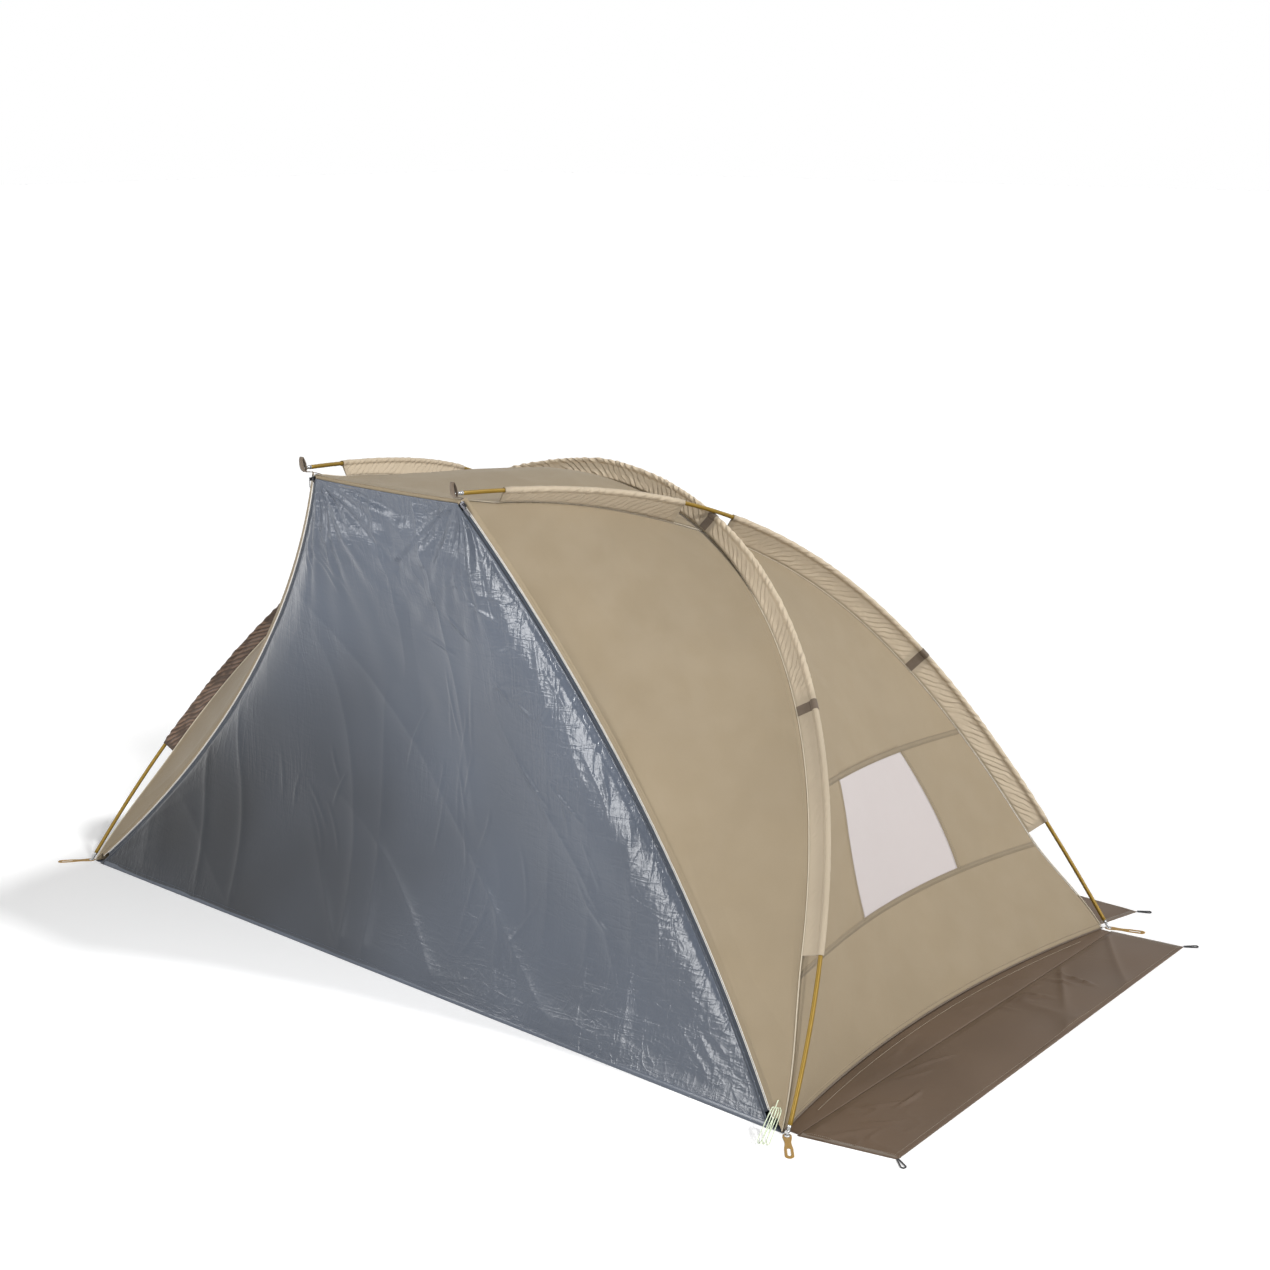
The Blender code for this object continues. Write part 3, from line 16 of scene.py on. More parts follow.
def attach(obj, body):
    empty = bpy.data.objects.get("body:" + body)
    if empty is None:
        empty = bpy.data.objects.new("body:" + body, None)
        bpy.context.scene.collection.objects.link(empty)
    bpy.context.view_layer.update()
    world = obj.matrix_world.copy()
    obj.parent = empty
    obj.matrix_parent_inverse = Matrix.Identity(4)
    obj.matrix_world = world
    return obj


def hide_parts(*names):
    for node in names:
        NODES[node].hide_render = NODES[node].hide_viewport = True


bl_info = {
    "name": "Beach tent",
    "version": (1, 0, 0),
    "blender": (4, 5, 0),
    "location": "View3D > Sidebar > Tent",
    "description": "Dresses a beach tent over its frame",
    "category": "Object",
}

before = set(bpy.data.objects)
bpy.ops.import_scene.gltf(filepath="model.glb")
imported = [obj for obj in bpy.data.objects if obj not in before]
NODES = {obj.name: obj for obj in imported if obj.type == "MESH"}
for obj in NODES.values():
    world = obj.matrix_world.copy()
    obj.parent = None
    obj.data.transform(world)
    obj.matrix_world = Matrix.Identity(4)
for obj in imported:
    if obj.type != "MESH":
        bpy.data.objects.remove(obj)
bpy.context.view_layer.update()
SIDES = (("right", 1.0), ("left", -1.0))

# Photograph's frame and camera
PHOTO_SIZE = 1270
FOCAL_PIXELS = 2000
SHIFT_PIXELS = 65
CAMERA_PLACE = (3.203, -3.521, 1.920)
CAMERA_TURN = (math.radians(73.55), 0.0, math.radians(40.63))

# Base and pole lines, as the frame has them
HALF_FRONT = 1.150
HALF_REAR = 1.131
HALF_DEPTH = 0.673
HOOP_RISE = 1.344
HOOP_LEAN = math.radians(35.3)
HOOP_FOOT_HANDLE = (0.187, 1.297)
HOOP_CROWN_HANDLE = 0.086
RIDGE_TIP = (0.239, -0.644, 1.153)
RIDGE_FRONT_HANDLE = (0.108, 0.872, -0.078)
RIDGE_REAR_HANDLE = (-0.593, -0.056, 0.836)
POLE_RADIUS = 0.00475
CROSSING_SPACING = 0.0131
FOOT_INSET = 0.015
TIP_LENGTH = 0.022

# Sleeves and seams, as the frame has them
SLEEVE_RADIUS = 0.0063
HOOP_SLEEVE_HEIGHT = 0.044
RIDGE_SLEEVE_HEIGHT = 0.054
RIDGE_SLEEVE_FRONT_HEIGHT = 0.032
RIDGE_TIP_DROP = 0.020
RIDGE_TIP_AHEAD = 0.024
HOOP_BARE_LEG = 0.365
RIDGE_BARE_FRONT = 0.130
RIDGE_FRONT_SLEEVE_LENGTH = 0.500
RIDGE_REAR_SLEEVE_START = 0.048
RIDGE_BARE_LEG = 0.300
BAND_WIDTH = 0.024
HOOP_BAND_FROM_CROSSING = 0.605
RIDGE_BAND_FROM_CROSSING = 0.675
SHIFT_REACH = 0.300
PANEL_SLACK = 0.010
ROOF_FRONT_SAG = 0.003
WING_HEM_HEIGHT = 0.003
HEM_Z = 0.0017
HEM_BOW = 0.070
SEAM_ROW_SHARES = (0.42, 0.72)
HOOP_SEAM_SHARES = (0.530, 0.790)
RIDGE_SEAM_SHARES = (0.590, 0.820)
WINDOW_LEFT_SHARES = (0.244, 0.328)
WINDOW_RIGHT_SHARES = (0.655, 0.723)
WINDOW_BOWS = (0.012, 0.020)

# Door, zips and ground pieces, as the frame has them
DOOR_CORNER_INSET = 0.026
DOOR_EDGE_BOW = 0.124
DOOR_BOW_TURN = math.radians(22.6)
DOOR_THICKNESS = 0.0010
ZIP_EDGE = 0.0106
ZIP_END = 0.026
SLIDER_PARK = 0.020
GROUNDSHEET_LIP = 0.003
FLAP_FOLD_OUT = 0.014
FLAP_FRONT_REACH = (0.200, 0.050)
FLAP_REAR_REACH = (0.177, 0.026)
REAR_FLAP_DEPTH = 0.140
REAR_FLAP_SIDE_INSET = 0.030
REAR_FLAP_SPLAY = 0.034
FLAP_WAVE = 0.003
FOLD_GAP = 0.0008
SHEET_Z = DOOR_THICKNESS / 2
WING_EDGE = ZIP_EDGE + 0.0011

RIGHT = np.array([1.0, 0.0, 0.0])
UP = np.array([0.0, 0.0, 1.0])
MIRROR = np.array([-1.0, 1.0, 1.0])
DENSE = 600
SPARSE = 160
# The arcs are read a little past their foot, so that they meet the ground
PAST_FOOT = 1.02
# A wave texture's scale for one band to a metre
WAVE_SCALE = 0.31416
EDGE_SHARE = 0.0012
WINDOW_THICKNESS = 0.0005


# Lines and surfaces


def unit(vectors):
    return vectors / np.linalg.norm(vectors, axis=-1, keepdims=True)


def evenly(count, start=0.0, end=1.0):
    return np.linspace(start, end, count)


def sided(points, sign):
    """The points of the right side, mirrored where the sign is the left one's."""
    return points if sign > 0 else points * MIRROR


def ease(share):
    share = np.clip(share, 0.0, 1.0)
    return share * share * (3.0 - 2.0 * share)


def eased(place, places, values):
    """Values at places, passing smoothly from each given value to the next."""
    places, values = np.array(places), np.array(values)
    index = np.clip(np.searchsorted(places, place) - 1, 0, len(places) - 2)
    share = (place - places[index]) / (places[index + 1] - places[index])
    return values[index] + (values[index + 1] - values[index]) * ease(share)


def bezier(corners, count):
    """Points on a cubic curve with the four given corners."""
    share = evenly(count)[:, None]
    rest = 1.0 - share
    first, second, third, last = [np.array(c, float) for c in corners]
    return (first * rest**3 + 3 * second * share * rest**2
            + 3 * third * share**2 * rest + last * share**3)


class Line:
    """A line through points, read at any distances along it, with an outward direction."""

    def __init__(self, points):
        self.points = np.array(points, float)
        steps = np.linalg.norm(np.diff(self.points, axis=0), axis=1)
        self.reach = np.concatenate([[0.0], np.cumsum(steps)])
        self.length = float(self.reach[-1])
        self.tangents = unit(np.gradient(self.points, self.reach, axis=0))
        self.outward = None

    def read(self, table, place):
        return np.stack([np.interp(place, self.reach, table[:, k]) for k in range(3)], axis=-1)

    def at(self, place):
        place = np.asarray(place, float)
        inside = np.clip(place, 0.0, self.length)
        return self.read(self.points, inside) + self.tangent(inside) * (place - inside)[..., None]

    def tangent(self, place):
        return unit(self.read(self.tangents, place))

    def frame(self, place):
        """Points, tangents, outward and sideways directions at places."""
        tangent = self.tangent(place)
        out = self.read(self.outward, place)
        out = unit(out - tangent * (out * tangent).sum(-1, keepdims=True))
        return self.at(place), tangent, out, np.cross(tangent, out)


def evened(points, count):
    line = Line(points)
    return line.at(evenly(count, 0.0, line.length))


def hoop_points(count):
    """The hoop pole's centre line from the right foot over the crown to the left foot."""
    handle_in, handle_up = HOOP_FOOT_HANDLE
    half = bezier([(HALF_FRONT, 0.0), (HALF_FRONT - handle_in, handle_up),
                   (HOOP_CROWN_HANDLE, HOOP_RISE), (0.0, HOOP_RISE)], DENSE)
    half = np.column_stack([half[:, 0], half[:, 1] * math.sin(HOOP_LEAN) - HALF_DEPTH,
                            half[:, 1] * math.cos(HOOP_LEAN)])
    half = evened(half, count)
    return np.vstack([half, half[-2::-1] * MIRROR])


def crossing_of(first, second):
    """Where two dense lines pass nearest each other, and the upward direction across both."""
    apart = np.linalg.norm(first[:, None] - second[None], axis=2)
    i, j = np.unravel_index(apart.argmin(), apart.shape)
    along = unit(first[max(i - 1, 0)] - first[min(i + 1, len(first) - 1)])
    other = unit(second[min(j + 1, len(second) - 1)] - second[max(j - 1, 0)])
    across = unit(np.cross(other, along))
    return i, j, across * np.sign(across[2])


def ridge_points(hoop_half):
    """The right ridge pole's centre line. Its front handle is raised until it clears the hoop."""
    tip, foot = np.array(RIDGE_TIP), np.array([HALF_REAR, HALF_DEPTH, 0.0])
    corners = [tip, tip + RIDGE_FRONT_HANDLE, foot + RIDGE_REAR_HANDLE, foot]
    for _ in range(6):
        points = bezier(corners, DENSE)
        i, j, across = crossing_of(hoop_half, points)
        share = j / (DENSE - 1)
        short = CROSSING_SPACING - (points[j] - hoop_half[i]) @ across
        corners[1] = corners[1] + across * short / (3 * share * (1 - share) ** 2)
    return evened(points, DENSE)


hoop = Line(hoop_points(DENSE // 2))
hoop_normal = np.array([0.0, math.cos(HOOP_LEAN), -math.sin(HOOP_LEAN)])
hoop.outward = unit(np.cross(hoop.tangents, hoop_normal))
hoop.outward *= np.sign(hoop.outward[DENSE // 2][2])
ridge = Line(ridge_points(hoop.points[: DENSE // 2]))
ridge_normal = unit(np.cross(ridge.points[DENSE // 3] - ridge.points[0],
                             ridge.points[-1] - ridge.points[0]))
ridge_out = unit(np.cross(ridge.tangents, ridge_normal))
ridge.outward = unit(ridge_out * np.sign(ridge_out[0][2]) + RIGHT)
hoop_at, ridge_at, _ = crossing_of(hoop.points[: DENSE // 2], ridge.points)
HOOP_CROSS, RIDGE_CROSS = hoop.reach[hoop_at], ridge.reach[ridge_at]


def ridge_height(place):
    """How far the canopy lies inside the ridge pole."""
    rear = ridge.length - RIDGE_BARE_LEG
    return eased(
        place,
        [RIDGE_TIP_AHEAD, RIDGE_BARE_FRONT, RIDGE_CROSS, (RIDGE_CROSS + rear) / 2, rear,
         ridge.length],
        [RIDGE_TIP_DROP, RIDGE_SLEEVE_FRONT_HEIGHT, CROSSING_SPACING + HOOP_SLEEVE_HEIGHT,
         RIDGE_SLEEVE_HEIGHT, RIDGE_SLEEVE_HEIGHT, FOOT_INSET])


def ridge_seam_point(place):
    point, _, out, _ = ridge.frame(place)
    return point - out * ridge_height(place)[..., None]


CORNER = ridge_seam_point(np.array(RIDGE_CROSS))


def hoop_seam_point(place):
    """On the right half. It is drawn to the crossing's corner near the crossing."""
    point, _, out, _ = hoop.frame(place)
    height = eased(place, [0.0, HOOP_BARE_LEG, hoop.length / 2],
                   [FOOT_INSET, HOOP_SLEEVE_HEIGHT, HOOP_SLEEVE_HEIGHT])
    cross_point, _, cross_out, _ = hoop.frame(np.array(HOOP_CROSS))
    shift = CORNER - (cross_point - cross_out * HOOP_SLEEVE_HEIGHT)
    pull = ease(1.0 - abs(place - HOOP_CROSS) / SHIFT_REACH)
    return point - out * height[..., None] + shift * pull[..., None]


def hoop_sleeve_height(place):
    """The sleeve ends where the seam lies, also where the crossing draws the seam aside."""
    place = np.minimum(place, hoop.length - place)
    point, _, out, _ = hoop.frame(place)
    return ((point - hoop_seam_point(place)) * out).sum(-1)


def down_to(points, height):
    """A line that runs down, ended where it meets a height."""
    last = int(np.argmax(points[:, 2] <= height))
    before, after = points[last - 1], points[last]
    share = (before[2] - height) / (before[2] - after[2])
    return Line(np.vstack([points[:last], before + (after - before) * share]))


ridge_front_seam = Line(ridge_seam_point(evenly(SPARSE, RIDGE_TIP_AHEAD, RIDGE_CROSS)))
ridge_rear_seam = down_to(ridge_seam_point(evenly(SPARSE, RIDGE_CROSS, ridge.length + FOOT_INSET)), HEM_Z)
hoop_leg_seam = down_to(hoop_seam_point(evenly(SPARSE, HOOP_CROSS, -FOOT_INSET)), HEM_Z)
crown_half = hoop_seam_point(evenly(SPARSE, HOOP_CROSS, hoop.length / 2))
crown_seam = Line(np.vstack([crown_half, crown_half[-2::-1] * MIRROR]))

# The door's side edge is an arc, which the zip follows
ARC_TOP = ridge_front_seam.points[0]
ARC_FOOT = np.array([HALF_FRONT - DOOR_CORNER_INSET, -HALF_DEPTH, DOOR_THICKNESS / 2])
ARC_CHORD = np.linalg.norm(ARC_FOOT - ARC_TOP)
ARC_DOWN = (ARC_FOOT - ARC_TOP) / ARC_CHORD
ARC_RADIUS = (ARC_CHORD**2 / 4 + DOOR_EDGE_BOW**2) / (2 * DOOR_EDGE_BOW)
bow_turn = np.array([-math.sin(DOOR_BOW_TURN), math.cos(DOOR_BOW_TURN), 0.0])
ARC_BACK = unit(bow_turn - ARC_DOWN * (bow_turn @ ARC_DOWN))
ARC_AXIS = np.cross(ARC_DOWN, ARC_BACK)
ARC_CENTRE = (ARC_TOP + ARC_FOOT) / 2 - ARC_BACK * (ARC_RADIUS - DOOR_EDGE_BOW)
ARC_HALF_ANGLE = math.asin(ARC_CHORD / 2 / ARC_RADIUS)
ARC_LENGTH = 2 * ARC_HALF_ANGLE * ARC_RADIUS


def arc_point(place):
    """Points of the right door edge down the arc, and their outward directions."""
    angle = np.asarray(place)[..., None] / ARC_RADIUS - ARC_HALF_ANGLE
    out = ARC_BACK * np.cos(angle) + ARC_DOWN * np.sin(angle)
    return ARC_CENTRE + out * ARC_RADIUS, out


def zip_side(offset, start=0.0, end=ARC_LENGTH):
    """A line beside the zip, offset across it: positive on the wing, negative on the door."""
    points, outs = arc_point(evenly(SPARSE, start, end))
    line = Line(points + ARC_AXIS * offset)
    line.outward = -outs
    return line


door_side = down_to(zip_side(-ZIP_EDGE, 0.0, ARC_LENGTH * PAST_FOOT).points, SHEET_Z)
wing_side = down_to(zip_side(WING_EDGE, 0.0, ARC_LENGTH * PAST_FOOT).points, WING_HEM_HEIGHT)
wing_leg = down_to(hoop_leg_seam.points, WING_HEM_HEIGHT)
wing_top = Line(np.vstack([wing_side.points[0], ridge_front_seam.points[1:]]))


def wing(u, v):
    """From the door's zip to the hoop's leg, and from the ridge down to the hem."""
    first, last = wing_side.at(v * wing_side.length), wing_leg.at(v * wing_leg.length)
    lift = wing_top.at(u * wing_top.length)
    lift = lift - (wing_top.points[0] + (CORNER - wing_top.points[0]) * u[..., None])
    slack = PANEL_SLACK * 16 * u * (1 - u) * v * (1 - v)
    return (first + (last - first) * u[..., None] + lift * (1 - ease(v))[..., None]
            - RIGHT * slack[..., None])


def side_wall(u, v):
    """From the hoop's leg to the rear part of the ridge pole, and down to the ground."""
    rows = [0.0, *SEAM_ROW_SHARES, 1.0]
    hoop_share = np.interp(v, rows, [0.0, *HOOP_SEAM_SHARES, 1.0])
    ridge_share = np.interp(v, rows, [0.0, *RIDGE_SEAM_SHARES, 1.0])
    first = hoop_leg_seam.at(hoop_share * hoop_leg_seam.length)
    last = ridge_rear_seam.at(ridge_share * ridge_rear_seam.length)
    slack = PANEL_SLACK * 16 * u * (1 - u) * v * (1 - v) + HEM_BOW * 4 * u * (1 - u) * ease(v)
    return first + (last - first) * u[..., None] - RIGHT * slack[..., None]


def window_sides(v):
    """Shares across the wall at the window's two sides, which bow out a little."""
    upper, lower = SEAM_ROW_SHARES
    share = np.clip((v - upper) / (lower - upper), 0.0, 1.0)
    bow = 4 * share * (1 - share)
    return (np.interp(v, SEAM_ROW_SHARES, WINDOW_LEFT_SHARES) - WINDOW_BOWS[0] * bow,
            np.interp(v, SEAM_ROW_SHARES, WINDOW_RIGHT_SHARES) + WINDOW_BOWS[1] * bow)


def crown_lift(u):
    """How far the crown seam lies from the straight line between its two ends."""
    first, last = crown_seam.points[0], crown_seam.points[-1]
    return crown_seam.at(u * crown_seam.length) - (first + (last - first) * u[..., None])


def roof(u, v):
    """From the door's top edge back to the hoop."""
    first = ridge_front_seam.at(v * ridge_front_seam.length)
    sag = ROOF_FRONT_SAG * 4 * u * (1 - u) * (1 - ease(v))
    return (first + (first * MIRROR - first) * u[..., None]
            + crown_lift(u) * ease(v)[..., None] - UP * sag[..., None])


def rear_wall(u, v):
    """From the hoop down to the ground behind."""
    first = ridge_rear_seam.at(v * ridge_rear_seam.length)
    lift = crown_lift(u) * (1 - ease(v / 0.6))[..., None]
    return first + (first * MIRROR - first) * u[..., None] + lift


def door(u, v):
    """From the right edge to the left one, and from the roof down to the ground."""
    first = door_side.at(v * door_side.length)
    sag = ROOF_FRONT_SAG * 4 * u * (1 - u) * (1 - ease(v))
    return first + (first * MIRROR - first) * u[..., None] - UP * sag[..., None]


def hem_point(u):
    return side_wall(u, np.ones_like(u))


def groundsheet(u, v):
    """From the right hem to the left one, and from front to back."""
    edge = hem_point(v) + RIGHT * GROUNDSHEET_LIP
    edge = np.stack([edge[..., 0], edge[..., 1], np.full_like(u, SHEET_Z)], axis=-1)
    return edge + (edge * MIRROR - edge) * u[..., None]


def flap_fold(share):
    """The straight fold of the right sand flap, from front to back."""
    front = np.array([HALF_FRONT + FLAP_FOLD_OUT, FLAP_FOLD_OUT - HALF_DEPTH, SHEET_Z])
    rear = np.array([HALF_REAR + FLAP_FOLD_OUT, HALF_DEPTH - FLAP_FOLD_OUT, SHEET_Z])
    return front + (rear - front) * share[..., None]


def side_skirt(u, v):
    """From the bowed hem out to the flap's straight fold, and from front to back."""
    hem = hem_point(evenly(DENSE)) + RIGHT * GROUNDSHEET_LIP
    outer = flap_fold(v) - RIGHT * FOLD_GAP
    inner = np.stack([np.interp(outer[..., 1], hem[:, 1], hem[:, 0]), outer[..., 1],
                      np.full_like(u, SHEET_Z)], axis=-1)
    return inner + (outer - inner) * u[..., None]


def side_flap(u, v):
    """From the fold out to the free edge, and from front to back."""
    reach = np.array([*FLAP_FRONT_REACH, 0.0])
    change = np.array([*FLAP_REAR_REACH, 0.0]) - reach
    wave = FLAP_WAVE * np.sin(math.pi * u) * np.sin(5 * math.pi * v) ** 2
    return flap_fold(v) + (reach + change * v[..., None]) * u[..., None] + UP * wave[..., None]


def rear_flap(u, v):
    """From the right side to the left one, and from the rear hem out to the free edge."""
    half = HALF_REAR - REAR_FLAP_SIDE_INSET + REAR_FLAP_SPLAY * v
    inner = hem_point(np.array(1.0))[1] + GROUNDSHEET_LIP + FOLD_GAP
    wave = FLAP_WAVE * np.sin(math.pi * v) * np.sin(4 * math.pi * u) ** 2
    return np.stack([half * (1 - 2 * u), inner + (HALF_DEPTH + REAR_FLAP_DEPTH - inner) * v,
                     SHEET_Z + wave], axis=-1)


# Folds in cloth


def lumps(x, y, cell, seed):
    """Soft random heights between -1 and 1 over a sheet, about a cell across."""
    size = 64
    table = np.random.default_rng(seed).uniform(-1.0, 1.0, (size, size))
    x, y = x / cell[0], y / cell[1]
    column, row = np.floor(x).astype(int), np.floor(y).astype(int)
    x, y = x - column, y - row
    x, y = x**3 * (x * (6 * x - 15) + 10), y**3 * (y * (6 * y - 15) + 10)

    def corner(right, down):
        return table[(column + right) % size, (row + down) % size]

    upper = corner(0, 0) * (1 - x) + corner(1, 0) * x
    lower = corner(0, 1) * (1 - x) + corner(1, 1) * x
    return upper * (1 - y) + lower * y


def creases(x, y, cell, seed, sharpness=2.0):
    """Narrow ridges between 0 and 1, winding over a sheet about a cell apart."""
    return (1.0 - np.abs(lumps(x, y, cell, seed))) ** (2 * sharpness)


def fan(x, y, corner, count, reach, seed):
    """Pulls that run out from a corner, widening and fading with distance."""
    apart = np.hypot(x - corner[0], y - corner[1])
    angle = np.arctan2(y - corner[1], x - corner[0])
    bend = lumps(angle * 2, apart, (0.4, reach), seed)
    return np.cos(angle * count + 2 * bend) * (apart / reach) * np.exp(1 - apart / reach * 1.6)


def crumple(x, y, centre, spread, turn, count, length, seed, width=0.0045):
    """Short narrow ridges, mostly turned one way, scattered round one place."""
    random = np.random.default_rng(seed)
    height = np.zeros(np.shape(x))
    for place in random.normal(0.0, 1.0, (count, 4)):
        angle = turn + 0.35 * place[2]
        reach = length * (1.0 + 0.3 * np.tanh(place[3]))
        over, up = x - centre[0] - spread[0] * place[0], y - centre[1] - spread[1] * place[1]
        along = over * math.cos(angle) + up * math.sin(angle)
        bend = along**2 / (reach * 8) * np.tanh(place[3])
        aside = up * math.cos(angle) - over * math.sin(angle) + bend
        crest = np.exp(-((aside / width) ** 2) - (along / reach) ** 4)
        height = np.maximum(height, crest * (0.6 + 0.4 * np.tanh(abs(place[2]))))
    return height


def rim(u, v, share_u, share_v):
    """0 at a sheet's four edges and 1 inside."""
    return (ease(u / share_u) * ease((1 - u) / share_u)
            * ease(v / share_v) * ease((1 - v) / share_v))


class Cloth:
    """A cloth: its shape, the side that its outer face looks to, its folds and where it belongs."""

    def __init__(self, shape, facing, folds, body="tent", slot="canopy"):
        self.shape = shape
        self.facing = np.array(facing, float)
        self.folds = folds
        self.body = body
        self.slot = slot

    def base(self, u, v):
        """Points of the smooth shape and their outward directions."""
        step = 1e-3
        along = self.shape(np.minimum(u + step, 1.0), v) - self.shape(np.maximum(u - step, 0.0), v)
        down = self.shape(u, np.minimum(v + step, 1.0)) - self.shape(u, np.maximum(v - step, 0.0))
        out = unit(np.cross(along, down))
        sign = np.sign((out.reshape(-1, 3) @ self.facing).sum())
        return self.shape(u, v), out * sign

    def at(self, u, v, lift=0.0):
        u, v = np.broadcast_arrays(np.asarray(u, float), np.asarray(v, float))
        points, out = self.base(u, v)
        return points + out * (self.folds(u, v, points) + lift)[..., None]


# Mesh helpers


def grid_faces(rows, columns, wrap=False):
    index = np.arange(rows * columns).reshape(rows, columns)
    if wrap:
        index = np.column_stack([index, index[:, 0]])
    return np.stack([index[:-1, :-1], index[:-1, 1:], index[1:, 1:], index[1:, :-1]],
                    axis=-1).reshape(-1, 4)


def placed(name, data):
    """An object in the scene, at the origin, with its places in its data."""
    made = bpy.data.objects.new(name, data)
    bpy.context.scene.collection.objects.link(made)
    return made


@contextmanager
def edited(mesh):
    """The mesh open for editing, and written back at the end."""
    bm = bmesh.new()
    bm.from_mesh(mesh)
    yield bm
    bm.to_mesh(mesh)
    bm.free()


def mesh_object(name, points, faces, look, uv=None, smooth_angle=60.0):
    """A smooth-shaded object with one finish."""
    mesh = bpy.data.meshes.new(name)
    mesh.from_pydata([tuple(p) for p in points], [], [list(f) for f in faces])
    if uv is not None:
        layer = mesh.uv_layers.new(name="UVMap")
        corners = np.empty(len(mesh.loops), int)
        mesh.loops.foreach_get("vertex_index", corners)
        layer.data.foreach_set("uv", uv[corners].astype(np.float32).ravel())
    mesh.shade_smooth()
    mesh.set_sharp_from_angle(angle=math.radians(smooth_angle))
    mesh.materials.append(look)
    return placed(name, mesh)


def spans(points, axis):
    """Distances from the start of each row or column of a grid, in metres."""
    steps = np.linalg.norm(np.diff(points, axis=axis), axis=-1)
    start = np.zeros_like(np.take(steps, [0], axis=axis))
    return np.concatenate([start, np.cumsum(steps, axis=axis)], axis=axis)


def metre_map(points):
    """Distances across and down a grid of points, as a map."""
    return np.stack([spans(points, 1), spans(points, 0)], axis=-1).reshape(-1, 2)


def thicken(made, thickness):
    wall = made.modifiers.new("cloth thickness", "SOLIDIFY")
    wall.thickness = thickness
    wall.offset = 0.0
    return made


def cloth_object(name, points, thickness, look, kept=slice(None)):
    """A sheet through a grid of points. Kept chooses its cells."""
    faces = grid_faces(*points.shape[:2])[kept]
    made = mesh_object(name, points.reshape(-1, 3), faces, look, metre_map(points))
    clean_loose(made)
    return thicken(made, thickness)


def clean_loose(made):
    """Takes away points that no face uses."""
    with edited(made.data) as bm:
        bmesh.ops.delete(bm, geom=[v for v in bm.verts if not v.link_faces], context="VERTS")


def declare_sheet(made, points, held, rests_on, kept=slice(None)):
    """Takes the sheet and does nothing with it."""


def ride(made, body, *nodes, slot=None):
    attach(made, body)
    if nodes:
        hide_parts(*nodes)
    return made


def swept(name, rings, look, smooth_angle=60.0):
    """A closed solid through rings of points, with both ends filled."""
    rings = np.array(rings)
    count, sides = rings.shape[:2]
    last = (count - 1) * sides
    faces = [list(f) for f in grid_faces(count, sides, True)]
    faces += [list(range(sides))[::-1], [last + k for k in range(sides)]]
    made = mesh_object(name, rings.reshape(-1, 3), faces, look, metre_map(rings), smooth_angle)
    outward(made)
    return made


def outward(made):
    """Turns a closed solid's faces outwards."""
    with edited(made.data) as bm:
        if bm.calc_volume(signed=True) < 0:
            bmesh.ops.reverse_faces(bm, faces=bm.faces)


def circle(radius, sides):
    angle = np.linspace(0.0, 2 * math.pi, sides, endpoint=False)
    return np.stack([radius * np.cos(angle), radius * np.sin(angle)], axis=-1)


def carried_frames(line, up):
    """Outward and sideways directions carried along a line without twisting."""
    tangent = line.tangents
    out = np.empty_like(tangent)
    out[0] = unit(np.array(up, float) - tangent[0] * (tangent[0] @ np.array(up, float)))
    for k in range(1, len(tangent)):
        out[k] = unit(out[k - 1] - tangent[k] * (out[k - 1] @ tangent[k]))
    return out, np.cross(tangent, out)


def tube(name, points, radius, sides, look, up=(0.0, 0.0, 1.0)):
    """A round cord or tube along points. The radius may change along it."""
    line = Line(points)
    radius = np.broadcast_to(radius, len(line.points))
    out, side = carried_frames(line, up)
    ring = circle(1.0, sides)
    rings = (line.points[:, None] + side[:, None] * (ring[:, :1] * radius[:, None, None])
             + out[:, None] * (ring[:, 1:] * radius[:, None, None]))
    return swept(name, rings, look)


def ribbon(name, points, across, width, thickness, look):
    """Flat webbing along points, with rounded edges. The width may change along it."""
    line = Line(points)
    across = unit(np.broadcast_to(np.array(across, float), line.points.shape))
    out = unit(np.cross(line.tangents, across))
    half, thick = np.broadcast_to(width, len(line.points)) / 2, thickness / 2
    corner = thick * 0.6
    section = [(-1, corner, -thick), (1, corner, -thick), (1, 0, corner - thick),
               (1, 0, thick - corner), (1, corner, thick), (-1, corner, thick),
               (-1, 0, thick - corner), (-1, 0, corner - thick)]
    rings = np.stack([line.points + across * (sign * (half - inset))[:, None] + out * high
                      for sign, inset, high in section], axis=1)
    return swept(name, rings, look)


def join_pieces(name, pieces):
    """One object from several that share a body and a finish."""
    mesh = bpy.data.meshes.new(name)
    bm = bmesh.new()
    for piece in pieces:
        bm.from_mesh(piece.data)
    bm.to_mesh(mesh)
    bm.free()
    mesh.materials.append(pieces[0].data.materials[0])
    for piece in pieces:
        bpy.data.objects.remove(piece)
    return placed(name, mesh)


def poly_curve(name, lines, flat):
    """A curve with a straight-sided spline through each line. Flat ones are closed outlines."""
    data = bpy.data.curves.new(name, "CURVE")
    data.dimensions = "2D" if flat else "3D"
    for points in lines:
        spline = data.splines.new("POLY")
        spline.points.add(len(points) - 1)
        places = np.column_stack([points, np.ones(len(points))])
        spline.points.foreach_set("co", places.astype(np.float32).ravel())
        spline.use_cyclic_u = flat
    return data


def evaluated_mesh(guide):
    """The mesh that a curve and its modifiers come to. The guide is taken away."""
    graph = bpy.context.evaluated_depsgraph_get()
    mesh = bpy.data.meshes.new_from_object(guide.evaluated_get(graph), depsgraph=graph)
    bpy.data.objects.remove(guide)
    return mesh


def add_node(tree, kind, inputs=None, **settings):
    """A node with its settings, and with each input linked or set."""
    made = tree.nodes.new(kind)
    for key, value in settings.items():
        setattr(made, key, value)
    for key, value in (inputs or {}).items():
        if isinstance(value, bpy.types.NodeSocket):
            tree.links.new(value, made.inputs[key])
        else:
            made.inputs[key].default_value = value
    return made


# Repeats along lines


